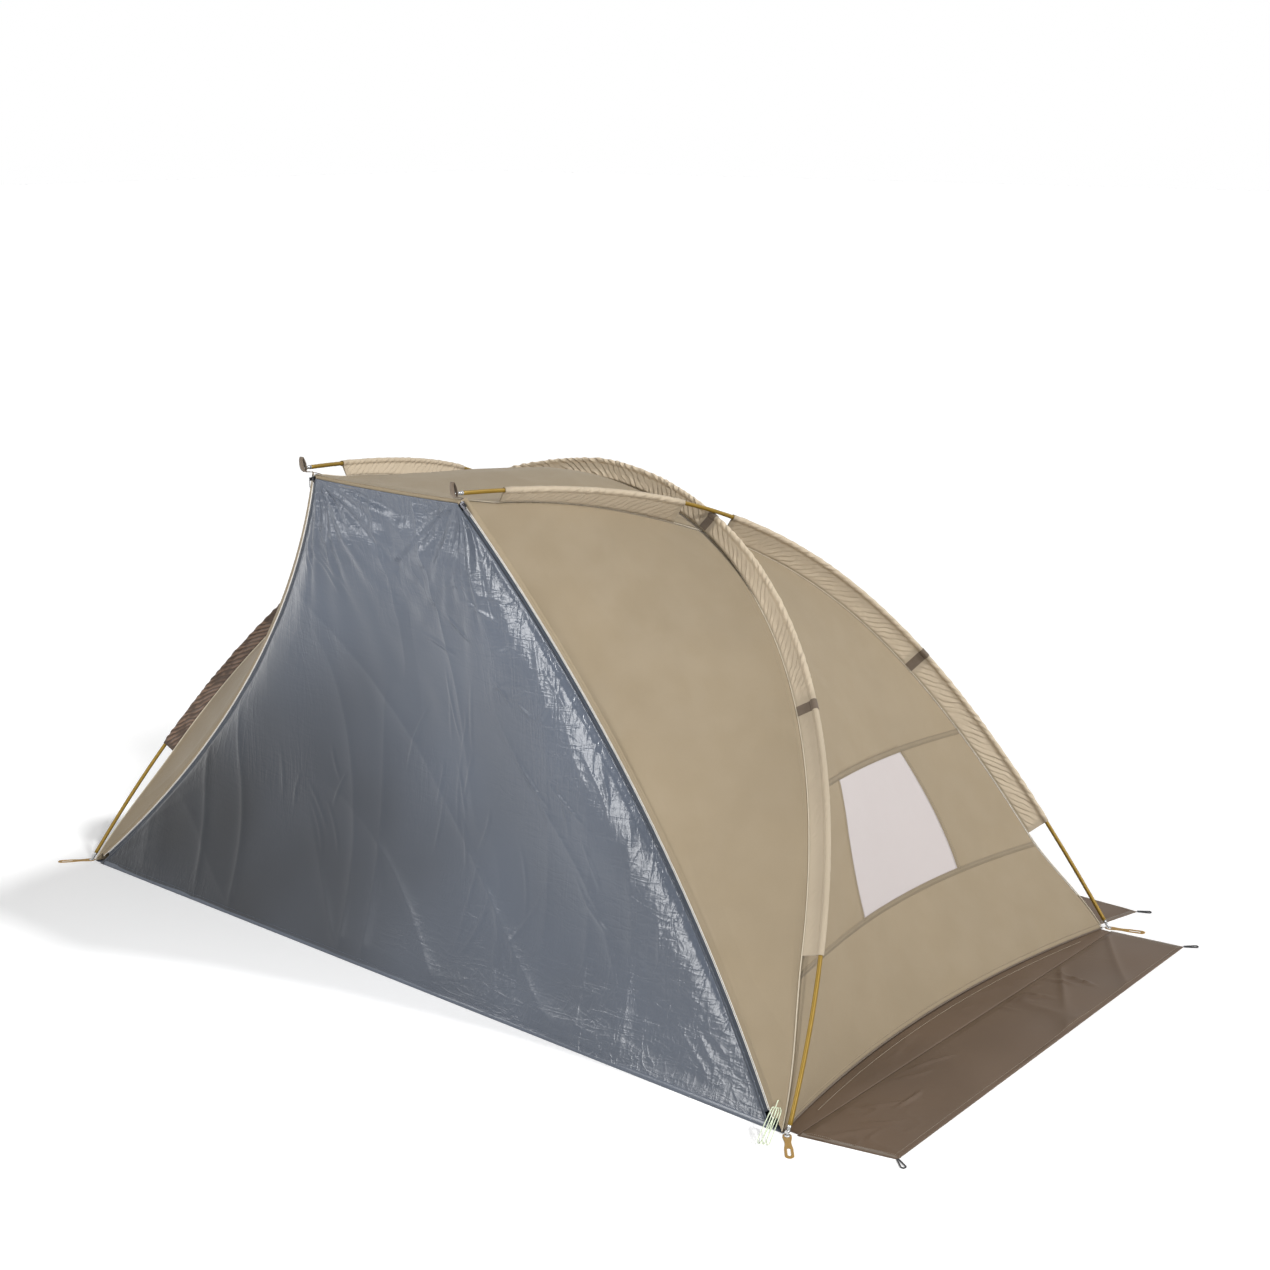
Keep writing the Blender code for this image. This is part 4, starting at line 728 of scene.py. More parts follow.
def repeat_tree():
    """Sets a small piece at an even spacing along curves, turned along them and across."""
    name = "Repeat along curves"
    if name in bpy.data.node_groups:
        return bpy.data.node_groups[name]
    tree = bpy.data.node_groups.new(name, "GeometryNodeTree")
    for label, way, kind in (
            ("Geometry", "INPUT", "Geometry"), ("Piece", "INPUT", "Object"),
            ("Spacing", "INPUT", "Float"), ("Across", "INPUT", "Vector"),
            ("Finish", "INPUT", "Material"), ("Geometry", "OUTPUT", "Geometry")):
        tree.interface.new_socket(label, in_out=way, socket_type=f"NodeSocket{kind}")
    given = add_node(tree, "NodeGroupInput").outputs
    even = add_node(tree, "GeometryNodeResampleCurve",
                    {"Curve": given["Geometry"], "Length": given["Spacing"]}, mode="LENGTH")
    tangent = add_node(tree, "GeometryNodeInputTangent")
    along = add_node(tree, "FunctionNodeAlignRotationToVector",
                     {"Vector": tangent.outputs["Tangent"]}, axis="X")
    across = add_node(tree, "FunctionNodeAlignRotationToVector",
                      {"Rotation": along.outputs["Rotation"], "Vector": given["Across"]},
                      axis="Y", pivot_axis="X")
    piece = add_node(tree, "GeometryNodeObjectInfo", {"Object": given["Piece"]})
    copies = add_node(tree, "GeometryNodeInstanceOnPoints", {
        "Points": even.outputs["Curve"], "Instance": piece.outputs["Geometry"],
        "Rotation": across.outputs["Rotation"]})
    real = add_node(tree, "GeometryNodeRealizeInstances", {"Geometry": copies.outputs["Instances"]})
    dressed = add_node(tree, "GeometryNodeSetMaterial", {
        "Geometry": real.outputs["Geometry"], "Material": given["Finish"]})
    add_node(tree, "NodeGroupOutput", {"Geometry": dressed.outputs["Geometry"]})
    return tree


def bead(name, length, width, height):
    """A small grain with six sides, along X."""
    mesh = bpy.data.meshes.new(name)
    with edited(mesh) as bm:
        bmesh.ops.create_uvsphere(bm, u_segments=6, v_segments=4, radius=0.5)
        for vert in bm.verts:
            x, y, z = vert.co
            vert.co = (z * length, x * width, y * height)
        bmesh.ops.recalc_face_normals(bm, faces=bm.faces)
    mesh.shade_smooth()
    return bpy.data.objects.new(name, mesh)


def repeated(name, lines, piece, spacing, across, look):
    """The piece repeated along every line, as one plain mesh."""
    guide = placed(name + " guide", poly_curve(name, lines, False))
    modifier = guide.modifiers.new("repeat", "NODES")
    modifier.node_group = repeat_tree()
    values = {"Piece": piece, "Spacing": spacing, "Across": across, "Finish": look}
    for item in modifier.node_group.interface.items_tree:
        if item.in_out == "INPUT" and item.name in values:
            modifier[item.identifier] = values[item.name]
    mesh = evaluated_mesh(guide)
    mesh.name = name
    bpy.data.objects.remove(piece)
    return placed(name, mesh)


# Settings


def colour(name, description, default):
    return bpy.props.FloatVectorProperty(name=name, description=description, default=default,
                                         subtype="COLOR", size=3, min=0.0, max=1.0)


def length(name, description, default):
    return bpy.props.FloatProperty(name=name, description=description, default=default,
                                   subtype="DISTANCE", unit="LENGTH", min=0.0)


class TentClothSettings(bpy.types.PropertyGroup):
    canopy_colour: colour("Canopy", "Colour of the roof and walls", (0.280, 0.221, 0.142))
    sleeve_colour: colour("Sleeves", "Colour of the pole sleeves", (0.640, 0.530, 0.385))
    # Painted shade: the brown that the hoop sleeve's left side takes
    shade_colour: colour("Sleeve backing", "Colour of the sleeves' brown backing", (0.150, 0.095, 0.065))
    door_colour: colour("Door", "Colour of the coated door and groundsheet", (0.060, 0.075, 0.104))
    window_colour: colour("Window", "Colour of the window film", (0.490, 0.442, 0.430))
    flap_colour: colour("Sand flaps", "Colour of the sand flaps", (0.112, 0.074, 0.047))
    piping_colour: colour("Piping", "Colour of the piping and threads", (0.640, 0.560, 0.430))
    canopy_thickness: length("Canopy thickness", "Thickness of the canopy cloth", 0.0008)
    door_thickness: length("Door thickness", "Thickness of the coated sheet", 0.0010)
    piping_radius: length("Piping radius", "Radius of the piping in the seams", 0.0013)
    gather_depth: length("Gather depth", "Depth of the folds in the sleeves", 0.0024)
    stitch_pitch: length("Stitch pitch", "Distance from one stitch to the next", 0.0040)


class TentTrimSettings(bpy.types.PropertyGroup):
    pole_colour: colour("Poles", "Colour of the anodised poles", (0.240, 0.146, 0.014))
    tip_colour: colour("Pole tips", "Colour of the bare metal tips", (0.420, 0.425, 0.430))
    webbing_colour: colour("Webbing", "Colour of the bands and tabs", (0.135, 0.098, 0.066))
    strap_colour: colour("Peg straps", "Colour of the peg straps", (0.330, 0.175, 0.010))
    chain_colour: colour("Zip chain", "Colour of the zip's teeth", (0.800, 0.770, 0.720))
    slider_colour: colour("Zip slider", "Colour of the zip's sliders", (0.080, 0.080, 0.088))
    elastic_colour: colour("Elastic", "Colour of the elastic loops", (0.022, 0.022, 0.024))
    cord_colour: colour("Guy line", "Colour of the guy line", (0.720, 0.800, 0.600))
    tooth_pitch: length("Tooth pitch", "Distance from one zip tooth to the next", 0.0022)


class TentStageSettings(bpy.types.PropertyGroup):
    floor_colour: colour("Floor", "Colour of the floor", (0.90, 0.90, 0.90))
    key_strength: bpy.props.FloatProperty(name="Key light", default=1.0, min=0.0,
                                          description="Strength of the high light")
    sky_strength: bpy.props.FloatProperty(name="Sky", default=0.22, min=0.0,
                                          description="Strength of the light from all round")


def cloth_settings():
    return bpy.context.scene.tent_cloth


def trim_settings():
    return bpy.context.scene.tent_trim


# Materials


class Finish:
    """A Principled material under construction."""

    def __init__(self, name, roughness, metallic=0.0):
        self.material = bpy.data.materials.new(name)
        self.material.use_nodes = True
        self.tree = self.material.node_tree
        self.shader = self.tree.nodes["Principled BSDF"]
        self.set("Roughness", roughness)
        self.set("Metallic", metallic)
        self.space = self.add("ShaderNodeTexCoord")

    def set(self, socket, value):
        self.shader.inputs[socket].default_value = value

    def add(self, kind, inputs=None, **settings):
        return add_node(self.tree, kind, inputs, **settings)

    def link(self, output, socket):
        self.tree.links.new(output, self.shader.inputs[socket])

    def share(self, name):
        """A share kept for each point of the piece."""
        return self.add("ShaderNodeAttribute", attribute_name=name).outputs["Fac"]

    def scaled(self, scale, space="Object", turn=(0.0, 0.0, 0.0)):
        """Coordinates stretched along each axis."""
        return self.add("ShaderNodeMapping", {"Vector": self.space.outputs[space],
                                              "Scale": scale, "Rotation": turn}).outputs[0]

    def noise(self, scale, detail=3.0, vector=None, roughness=0.55, distortion=0.0):
        vector = vector or self.space.outputs["Object"]
        return self.add("ShaderNodeTexNoise", {
            "Vector": vector, "Scale": scale, "Detail": detail, "Roughness": roughness,
            "Distortion": distortion}).outputs["Fac"]

    def ramp(self, value, low, high, to_low=0.0, to_high=1.0):
        return self.add("ShaderNodeMapRange", {
            "Value": value, "From Min": low, "From Max": high, "To Min": to_low,
            "To Max": to_high}, interpolation_type="SMOOTHSTEP").outputs[0]

    def maths(self, operation, first, second=0.0):
        return self.add("ShaderNodeMath", {0: first, 1: second}, operation=operation).outputs[0]

    def mix(self, share, first, second):
        return self.add("ShaderNodeMix", {0: share, 6: first, 7: second},
                        data_type="RGBA").outputs[2]

    def tinted(self, base, share, darker=0.86, lighter=1.10):
        """The base colour varied a little, from darker to lighter."""
        low = (*(c * darker for c in base), 1.0)
        high = (*(min(c * lighter, 1.0) for c in base), 1.0)
        return self.mix(share, low, high)

    def bands(self, pitch, way, vector=None):
        """Rounded bands at a pitch across one way of the piece's own map."""
        return self.add("ShaderNodeTexWave", {
            "Vector": vector or self.space.outputs["UV"], "Scale": WAVE_SCALE / pitch},
            bands_direction=way).outputs["Fac"]

    def weave(self, pitch):
        """Threads crossing over and under."""
        return self.maths("ADD", self.bands(pitch, "X"), self.bands(pitch, "Y"))

    def bump(self, height, depth, strength=1.0, under=None):
        inputs = {"Height": height, "Distance": depth, "Strength": strength}
        if under is not None:
            inputs["Normal"] = under
        return self.add("ShaderNodeBump", inputs).outputs[0]


def pleats(f, pitch, slant):
    """Slanting gathers along a sleeve, from 0 to 1, with one steep side each."""
    place = f.add("ShaderNodeSeparateXYZ", {0: f.space.outputs["UV"]})
    aside = f.maths("ABSOLUTE", place.outputs[0], 0.0)
    run = f.maths("ADD", place.outputs[1], f.maths("MULTIPLY", aside, slant))
    run = f.maths("ADD", run, f.maths("MULTIPLY", f.noise(14.0, 2.0), 0.045))
    share = f.maths("FRACT", f.maths("DIVIDE", run, pitch), 0.0)
    rise = f.maths("DIVIDE", share, 0.72)
    fall = f.maths("DIVIDE", f.maths("SUBTRACT", 1.0, share), 0.28)
    uneven = f.ramp(f.noise(22.0, 2.0), 0.30, 0.62, 0.15, 1.0)
    return f.maths("MULTIPLY", f.maths("MINIMUM", rise, fall), uneven)


def canopy_finish(name, base, sheen=0.15, painted_left_shade=None):
    """Plain woven cloth, matt, with faint handling marks. A sleeve's has gathers too, and painted shade:
    darker where it lies smooth, and brown with painted fold shadows where its left side is marked.
    """
    f = Finish(name, 0.78)
    tone = f.tinted(base, f.ramp(f.noise(5.0, 4.0), 0.3, 0.7), 0.94, 1.05)
    shown = f.mix(0.5, tone, f.tinted(base, f.noise(420.0, 2.0), 0.93, 1.06))
    normal = f.bump(f.noise(26.0, 4.0, distortion=0.4), 0.0009, 0.35,
                    f.bump(f.weave(0.0009), 0.00008, 0.5))
    if painted_left_shade is not None:
        depth = f.share("gather")
        folded = f.maths("MULTIPLY", pleats(f, 0.021, 1.5), depth)
        # Painted fold shadows: the gathers' pattern paints dark and light stripes into the brown painted
        # shade
        painted_fold_shade = f.mix(f.ramp(folded, 0.05, 0.6), (*[x * 0.45 for x in painted_left_shade], 1.0),
                        (*[x * 1.25 for x in painted_left_shade], 1.0))
        # Painted shade: smooth parts of a sleeve, such as the right leg's lower end and under the bands,
        # take the darker copy of the colour, gathered parts the lighter one
        flat, loose = (f.tinted(base, f.noise(9.0), *ends) for ends in ((0.64, 0.72), (0.98, 1.12)))
        shown = f.mix(f.share("painted_left_shade"), f.mix(f.ramp(depth, 0.15, 0.85), flat, loose), painted_fold_shade)
        normal = f.bump(folded, 0.0032, 0.9, normal)
    f.link(shown, "Base Color")
    f.link(f.ramp(f.noise(12.0), 0.3, 0.7, 0.70, 0.84), "Roughness")
    f.set("Sheen Weight", sheen)
    f.set("Sheen Roughness", 0.4)
    f.link(normal, "Normal")
    return f.material


def ridged(f, scale, sharp=5.0):
    """Narrow winding creases, 1 on the crease and fading smoothly away from it."""
    noise = f.noise(1.0, 2.0, f.scaled(scale), 0.55, 0.6)
    off = f.maths("ABSOLUTE", f.maths("SUBTRACT", noise, 0.5))
    return f.maths("POWER", f.maths("SUBTRACT", 1.0, f.maths("MULTIPLY", off, 2.0)), sharp)


def coated_finish(name, base, roughness, crumple=1.0, coat=1.0, gloss=0.5):
    """Shiny coated sheet with sharp crumples where it is pulled and fine wrinkles all over, darkened and
    dulled by painted shade where its 'shaded' share says.
    """
    f = Finish(name, roughness)
    patches = f.ramp(f.noise(3.6, 1.0), 0.35, 0.80)
    where = f.maths("ADD", f.maths("MULTIPLY", f.share("pulled"), 0.80),
                    f.maths("MULTIPLY", patches, 0.50))
    upright = f.maths("MULTIPLY", ridged(f, (34.0, 34.0, 5.0)), f.ramp(where, 0.1, 0.9))
    level = f.maths("MULTIPLY", ridged(f, (11.0, 11.0, 46.0)), where)
    fine = f.maths("MULTIPLY", ridged(f, (62.0, 62.0, 40.0)), where)
    normal = f.bump(upright, 0.0013 * crumple, 0.8)
    normal = f.bump(level, 0.0010 * crumple, 0.7, normal)
    normal = f.bump(fine, 0.0005 * crumple, 0.7, normal)
    normal = f.bump(f.noise(120.0, 3.0, roughness=0.6), 0.00010, 0.5, normal)
    f.link(normal, "Normal")
    # Painted shade: the 'shaded' share darkens the colour and thins the coat's reflection
    shaded = f.share("shaded")
    tone = f.maths("SUBTRACT", f.ramp(f.noise(3.2, 1.0), 0.0, 1.0, 0.68, 1.0), shaded)
    f.link(f.tinted(base, tone, 0.10, 1.12), "Base Color")
    f.link(f.maths("MULTIPLY", f.maths("SUBTRACT", 1.0, shaded), coat), "Coat Weight")
    f.set("Coat Roughness", 0.22)
    f.set("Specular IOR Level", gloss)
    f.link(normal, "Coat Normal")
    return f.material


def webbing_finish(name, base, rib=0.0022):
    """Ribbed narrow webbing."""
    f = Finish(name, 0.75)
    ribs = f.bands(rib, "Y")
    f.link(f.tinted(base, ribs, 0.80, 1.12), "Base Color")
    f.link(f.bump(ribs, 0.0003, 0.8, f.bump(f.weave(0.0008), 0.0001, 0.6)), "Normal")
    f.link(f.ramp(f.noise(90.0), 0.3, 0.7, 0.66, 0.84), "Roughness")
    f.set("Sheen Weight", 0.2)
    return f.material


def metal_finish(name, base, roughness, metallic, brush=900.0):
    """Drawn tube or die-cast metal, with faint lengthwise marks."""
    f = Finish(name, roughness, metallic)
    marks = f.noise(brush, 2.0)
    f.link(f.tinted(base, f.noise(30.0, 3.0), 0.92, 1.06), "Base Color")
    f.link(f.ramp(marks, 0.2, 0.8, roughness - 0.06, roughness + 0.08), "Roughness")
    f.link(f.bump(marks, 0.00003, 0.4), "Normal")
    return f.material


def film_finish(name, base):
    """Frosted film with a faint mesh pressed into it."""
    f = Finish(name, 0.42)
    f.link(f.tinted(base, f.noise(7.0, 3.0), 0.97, 1.03), "Base Color")
    dents = f.bump(f.noise(9.0, 2.0), 0.003, 0.25)
    f.link(f.bump(f.weave(0.0016), 0.00006, 0.5, dents), "Normal")
    f.link(f.ramp(f.noise(14.0), 0.3, 0.7, 0.36, 0.50), "Roughness")
    f.set("Coat Weight", 0.15)
    return f.material


def cord_finish(name, base, second, pitch):
    """Braided cord, with flecks of a second colour along its own map."""
    f = Finish(name, 0.62)
    braid = f.scaled((1.0 / pitch, 1.0 / pitch, 1.0), "UV", (0.0, 0.0, math.radians(45.0)))
    lay = f.maths("MAXIMUM", f.bands(1.0, "X", braid), f.bands(1.0, "Y", braid))
    flecks = f.ramp(f.noise(260.0, 1.0), 0.56, 0.62)
    f.link(f.mix(flecks, f.tinted(base, lay, 0.78, 1.08), (*second, 1.0)), "Base Color")
    f.link(f.bump(lay, 0.0002, 0.8), "Normal")
    return f.material


def finish(name):
    """The named finish, made the first time that a piece asks for it."""
    found = bpy.data.materials.get(name)
    if found is not None:
        return found
    c, t = cloth_settings(), trim_settings()

    def toned(colour, share):
        return [x * share for x in colour]

    maker, *values = {
        "canopy cloth": (canopy_finish, c.canopy_colour),
        "seam cloth": (canopy_finish, toned(c.canopy_colour, 0.80)),
        "sleeve cloth": (canopy_finish, c.sleeve_colour, 0.2, c.shade_colour),
        "coated door": (coated_finish, c.door_colour, 0.30, 1.0, 0.6),
        "coated groundsheet": (coated_finish, c.door_colour, 0.40, 0.6, 0.2),
        "sand flap cloth": (coated_finish, c.flap_colour, 0.50, 0.8, 0.0, 0.3),
        "window film": (film_finish, c.window_colour),
        "piping": (webbing_finish, c.piping_colour, 0.0014),
        "thread": (webbing_finish, toned(c.piping_colour, 0.72), 0.0005),
        "dark thread": (webbing_finish, toned(c.canopy_colour, 0.45), 0.0005),
        "door thread": (webbing_finish, toned(c.door_colour, 1.9), 0.0005),
        # Partly a real binding tape and partly painted shade: a darker navy for the band where the door
        # rolls toward the zip
        "door binding": (webbing_finish, toned(c.door_colour, 0.55), 0.0012),
        "zip chain": (metal_finish, t.chain_colour, 0.45, 0.0, 400.0),
        "zip slider": (metal_finish, t.slider_colour, 0.35, 0.8),
        "brown webbing": (webbing_finish, t.webbing_colour),
        "gold webbing": (webbing_finish, t.strap_colour, 0.0018),
        "gold pole": (metal_finish, t.pole_colour, 0.42, 0.40),
        "tip metal": (metal_finish, t.tip_colour, 0.22, 1.0),
        "black elastic": (cord_finish, t.elastic_colour, toned(t.elastic_colour, 2.0), 0.0012),
        "guy line": (cord_finish, t.cord_colour, toned(t.cord_colour, 0.72), 0.0011),
    }[name]
    return maker(name, *values)


# Cloth shapes with their folds


def on_side(shape, sign):
    """The same surface on the side that the sign names."""
    return lambda u, v: sided(shape(u, v), sign)


def wall_folds(u, v, points):
    """Soft pulls between the seams, tightest at the poles' feet, and a dip along each seam."""
    x, y = points[..., 1], points[..., 2]
    soft = 0.0030 * lumps(x, y, (0.34, 0.22), 11)
    pulls = 0.0014 * creases(x + y * 0.5, y, (0.16, 0.60), 12)
    seams = sum(np.exp(-((v - row) / 0.012) ** 2) for row in SEAM_ROW_SHARES)
    dips = 0.0012 * seams * ease(u / 0.03) * ease((1 - u) / 0.03)
    return (soft + pulls) * rim(u, v, 0.06, 0.05) - dips


def wing_folds(u, v, points):
    x, y = points[..., 1], points[..., 2]
    soft = 0.0035 * lumps(x, y, (0.22, 0.30), 21)
    pulls = 0.0022 * creases(x - y * 0.25, y, (0.11, 0.80), 22)
    return (soft + pulls) * rim(u, v, 0.10, 0.04)


def roof_folds(u, v, points):
    x, y = points[..., 0], points[..., 1]
    return (0.0030 * lumps(x, y, (0.30, 0.24), 31)
            + 0.0014 * creases(x, y + x * 0.4, (0.4, 0.16), 32)) * rim(u, v, 0.06, 0.08)


def rear_folds(u, v, points):
    x, y = points[..., 0], points[..., 2]
    return (0.0040 * lumps(x, y, (0.42, 0.30), 41)
            + 0.0018 * creases(x + y * 0.3, y, (0.22, 0.9), 42)) * rim(u, v, 0.05, 0.04)


# The door's crumples: each one's middle, spread, turn, number of ridges and their length
DOOR_CRUMPLES = (((0.54, 0.62), (0.10, 0.14), 2.2, 20, 0.050),
                 ((0.11, 0.52), (0.07, 0.12), 1.5, 12, 0.060),
                 ((-0.28, 0.39), (0.10, 0.12), -1.1, 7, 0.050),
                 ((0.25, 0.80), (0.16, 0.12), 0.1, 14, 0.040),
                 ((-0.22, 0.98), (0.05, 0.05), -0.9, 7, 0.050),
                 ((0.92, 0.13), (0.06, 0.03), 2.6, 5, 0.060),
                 ((0.36, 0.24), (0.09, 0.16), 1.9, 7, 0.090))
DOOR_FOLD_LIMIT = 0.012
ZIP_ROLL_DEPTH = 0.032
ZIP_ROLL_WIDTH = 0.140
ZIP_GATHER_DEPTH = 0.0004
ZIP_GATHER_PITCH = 0.023
ZIP_GATHER_REACH = 0.110


def door_creases(x, y):
    """Crumples all over, long upright creases and pulls from both top corners and feet."""
    broad = lumps(x, y, (0.30, 0.40), 51) + 0.45 * lumps(x, y, (0.15, 0.20), 52)
    from_foot = np.hypot(x - HALF_FRONT, y) / 0.55
    upright = creases(x + 0.10 * y, y, (0.13, 1.10), 53) - 0.35
    upright = upright * (1 - 0.85 * np.exp(-from_foot**2))
    slanting = creases(x * 0.7 + y * 0.7, y - x, (0.24, 0.90), 54, 3.0)
    height = 0.0030 * broad + 0.0034 * upright + 0.0026 * slanting
    half = door_side.points[0][0]
    for sign, foot in ((1, 0.20), (-1, 0.25)):
        height = height + 0.0050 * fan(x * sign, 1.13 - y, (half, 0.0), 9.0, 0.16, 57 + sign)
        height = height + 0.0030 * fan(x * sign, 1.14 - y, (half, 0.0), 27.0, 0.20, 65 + sign)
        height = height + 0.0036 * foot * fan(x * sign, y, (HALF_FRONT, 0.0), 13.0, 0.32, 60 + sign)
        height = height + 0.0018 * foot * fan(x * sign, y, (HALF_FRONT, 0.0), 47.0, 0.40, 67 + sign)
    for centre, spread, turn, count, length in DOOR_CRUMPLES:
        tall = 0.0012 + 0.0022 * centre[1]
        height = height + tall * crumple(x, y, centre, spread, turn, count, length, count)
    return height


def zip_roll(inside, v):
    """The broad roll of cloth beside each zip."""
    roll = inside / ZIP_ROLL_WIDTH * np.exp(1 - inside / ZIP_ROLL_WIDTH)
    return ZIP_ROLL_DEPTH * roll * ease(v / 0.12) * ease((1 - v) / 0.50)


def zip_gathers(x, y, inside, v):
    """Short gathers where the cloth is sewn to the zips."""
    gathers = np.sin(y * 2 * math.pi / ZIP_GATHER_PITCH + 9 * lumps(x, y, (0.09, 0.07), 63)) ** 3
    gathers = gathers * np.maximum(0.15 + 0.85 * lumps(x, y, (0.15, 0.12), 64), 0.0)
    gathers = ZIP_GATHER_DEPTH * gathers * ease(inside / 0.006)
    gathers = gathers * ease((ZIP_GATHER_REACH - inside) / 0.080)
    return gathers * ease(v / 0.02) * ease((1 - v) / 0.30)


def door_folds(u, v, points):
    x, y = points[..., 0], points[..., 2]
    inside = np.minimum(u, 1 - u) * 2 * door_side.at(v * door_side.length)[..., 0]
    height = np.clip(door_creases(x, y), -DOOR_FOLD_LIMIT, DOOR_FOLD_LIMIT) + zip_roll(inside, v)
    quiet = ease(inside / 0.020) * ease(v / 0.02) * ease((1 - v) / 0.05)
    return height * quiet + zip_gathers(x, y, inside, v)


def ground_folds(u, v, points):
    x, y = points[..., 0], points[..., 1]
    soft = 0.0016 * (1 + lumps(x, y, (0.20, 0.16), 71))
    return (soft + 0.0016 * creases(x, y, (0.16, 0.22), 72)) * rim(u, v, 0.08, 0.08)


def side_flap_folds(u, v, points):
    """Only upwards, because the flap lies on the ground."""
    x, y = points[..., 0], points[..., 1]
    soft = 0.0020 * (1 + lumps(x, y, (0.09, 0.16), 81))
    sharp = 0.0044 * creases(x * 0.8 + y * 0.5, y, (0.13, 0.34), 82, 3.5)
    front = 0.0026 * creases(x, y, (0.05, 0.07), 83, 2.5) * ease(1 - v / 0.25)
    across = np.abs(x)
    short = crumple(across, y, (1.15, 0.22), (0.035, 0.08), 0.5, 16, 0.045, 84)
    short = np.maximum(short, crumple(across, y, (1.20, -0.30), (0.05, 0.20), 1.1, 10, 0.050, 85))
    edges = ease(u / 0.10) * ease((1 - u) / 0.08) * ease(v / 0.02) * ease((1 - v) / 0.02)
    inner = ease((u - 0.02) / 0.09) * ease((1 - u) / 0.08)
    return (soft + sharp + front) * edges + 0.0054 * short * inner


def rear_flap_folds(u, v, points):
    x, y = points[..., 0], points[..., 1]
    soft = 0.0020 * (1 + lumps(x, y, (0.16, 0.09), 91))
    sharp = 0.0036 * creases(x * 0.5 + y * 0.8, y, (0.34, 0.13), 92, 3.5)
    edges = ease(v / 0.12) * ease((1 - v) / 0.10) * ease(u / 0.02) * ease((1 - u) / 0.02)
    return (soft + sharp) * edges


def skirt_folds(u, v, points):
    x, y = np.abs(points[..., 0]), points[..., 1]
    short = crumple(x, y, (1.10, 0.20), (0.02, 0.07), 0.9, 12, 0.030, 96)
    short = np.maximum(short, crumple(x, y, (1.10, -0.19), (0.012, 0.03), 1.5, 6, 0.028, 97))
    return (0.0008 * (1 + lumps(x, y, (0.03, 0.05), 95)) + 0.0022 * short) * rim(u, v, 0.25, 0.03)


CLOTHS = {
    "roof": Cloth(roof, (0, 0, 1), roof_folds),
    "rear": Cloth(rear_wall, (0, 1, 0.3), rear_folds),
    "door": Cloth(door, (0, -1, 0.1), door_folds, "door", "groundsheet"),
    "groundsheet": Cloth(groundsheet, (0, 0, 1), ground_folds, "tent", "groundsheet"),
    "skirt": Cloth(side_skirt, (0, 0, 1), skirt_folds, "tent", "sand_flap"),
    "side flap": Cloth(side_flap, (0, 0, 1), side_flap_folds, "side_flap", "sand_flap"),
    "rear flap": Cloth(rear_flap, (0, 0, 1), rear_flap_folds, "rear_flap", "sand_flap"),
}
for side_name, side_sign in SIDES:
    CLOTHS[f"wing {side_name}"] = Cloth(on_side(wing, side_sign), (side_sign, -1, 0), wing_folds)
    CLOTHS[f"wall {side_name}"] = Cloth(on_side(side_wall, side_sign), (side_sign, 0, 0.2), wall_folds)


def panel(name, cloth, u, v, finish_name, rests_on, node, held="stretched", kept=slice(None)):
    """One sheet of cloth that stands for one node, over shares across and down."""
    cloth = CLOTHS[cloth]
    if np.ndim(u) == 1:
        u, v = np.meshgrid(u, v)
    points = cloth.at(u, v)
    settings = cloth_settings()
    thick = settings.canopy_thickness if cloth.slot == "canopy" else settings.door_thickness
    made = cloth_object(name, points, thick, finish(finish_name), kept)
    declare_sheet(made, points, held, rests_on, kept)
    return ride(made, cloth.body, node, slot=cloth.slot)


def make_canopy():
    near, far = EDGE_SHARE, 1 - EDGE_SHARE
    poles = ["hoop_pole", "ridge_pole_right", "ridge_pole_left"]
    panel("roof", "roof", evenly(120, near, far), evenly(100, 0.003, far), "canopy cloth", poles,
          "roof_panel")
    panel("rear_wall_cloth", "rear", evenly(150, near, far), evenly(120, near, 1.0),
          "canopy cloth", poles, "rear_wall")
    roof_front()
    for side, _ in SIDES:
        panel(f"front_wing_cloth_{side}", f"wing {side}", evenly(90, 0.004, 0.9985),
              evenly(150, near, 1.0), "canopy cloth", ["hoop_pole", f"ridge_pole_{side}"],
              f"front_wing_{side}")
        wall_cloth(side)
        pane(side)


def wall_cloth(side):
    """The side wall, with its cells drawn to the window's slanting sides."""
    upper, lower = SEAM_ROW_SHARES
    down = np.concatenate([evenly(48, 0.004, upper)[:-1], evenly(40, upper, lower)[:-1],
                           evenly(36, lower, 1.0)])
    u = np.array([np.concatenate([evenly(30, EDGE_SHARE, left)[:-1], evenly(40, left, right)[:-1],
                                  evenly(40, right, 1 - EDGE_SHARE)])
                  for left, right in zip(*window_sides(down))])
    v = np.repeat(down[:, None], u.shape[1], axis=1)
    faces = grid_faces(*u.shape)
    middle_u, middle_v = u.ravel()[faces].mean(axis=1), v.ravel()[faces].mean(axis=1)
    left, right = window_sides(middle_v)
    window = (middle_u > left) & (middle_u < right) & (middle_v > upper) & (middle_v < lower)
    panel(f"side_wall_cloth_{side}", f"wall {side}", u, v, "canopy cloth",
          ["hoop_pole", f"ridge_pole_{side}"], f"side_wall_{side}", kept=~window)


def pane(side):
    """The window's film, held between the seams by the wall's turned edges."""
    upper, lower = SEAM_ROW_SHARES
    down = evenly(40, upper + 0.0006, lower - 0.0006)
    left, right = window_sides(down)
    u = left[:, None] + (right - left)[:, None] * evenly(50, 0.0008, 0.9992)
    points = CLOTHS[f"wall {side}"].at(u, down[:, None], -0.0002)
    made = cloth_object(f"window_film_{side}", points, WINDOW_THICKNESS, finish("window film"))
    declare_sheet(made, points, "stretched", [f"side_wall_cloth_{side}"])
    ride(made, "tent", f"window_{side}", slot="window_film")


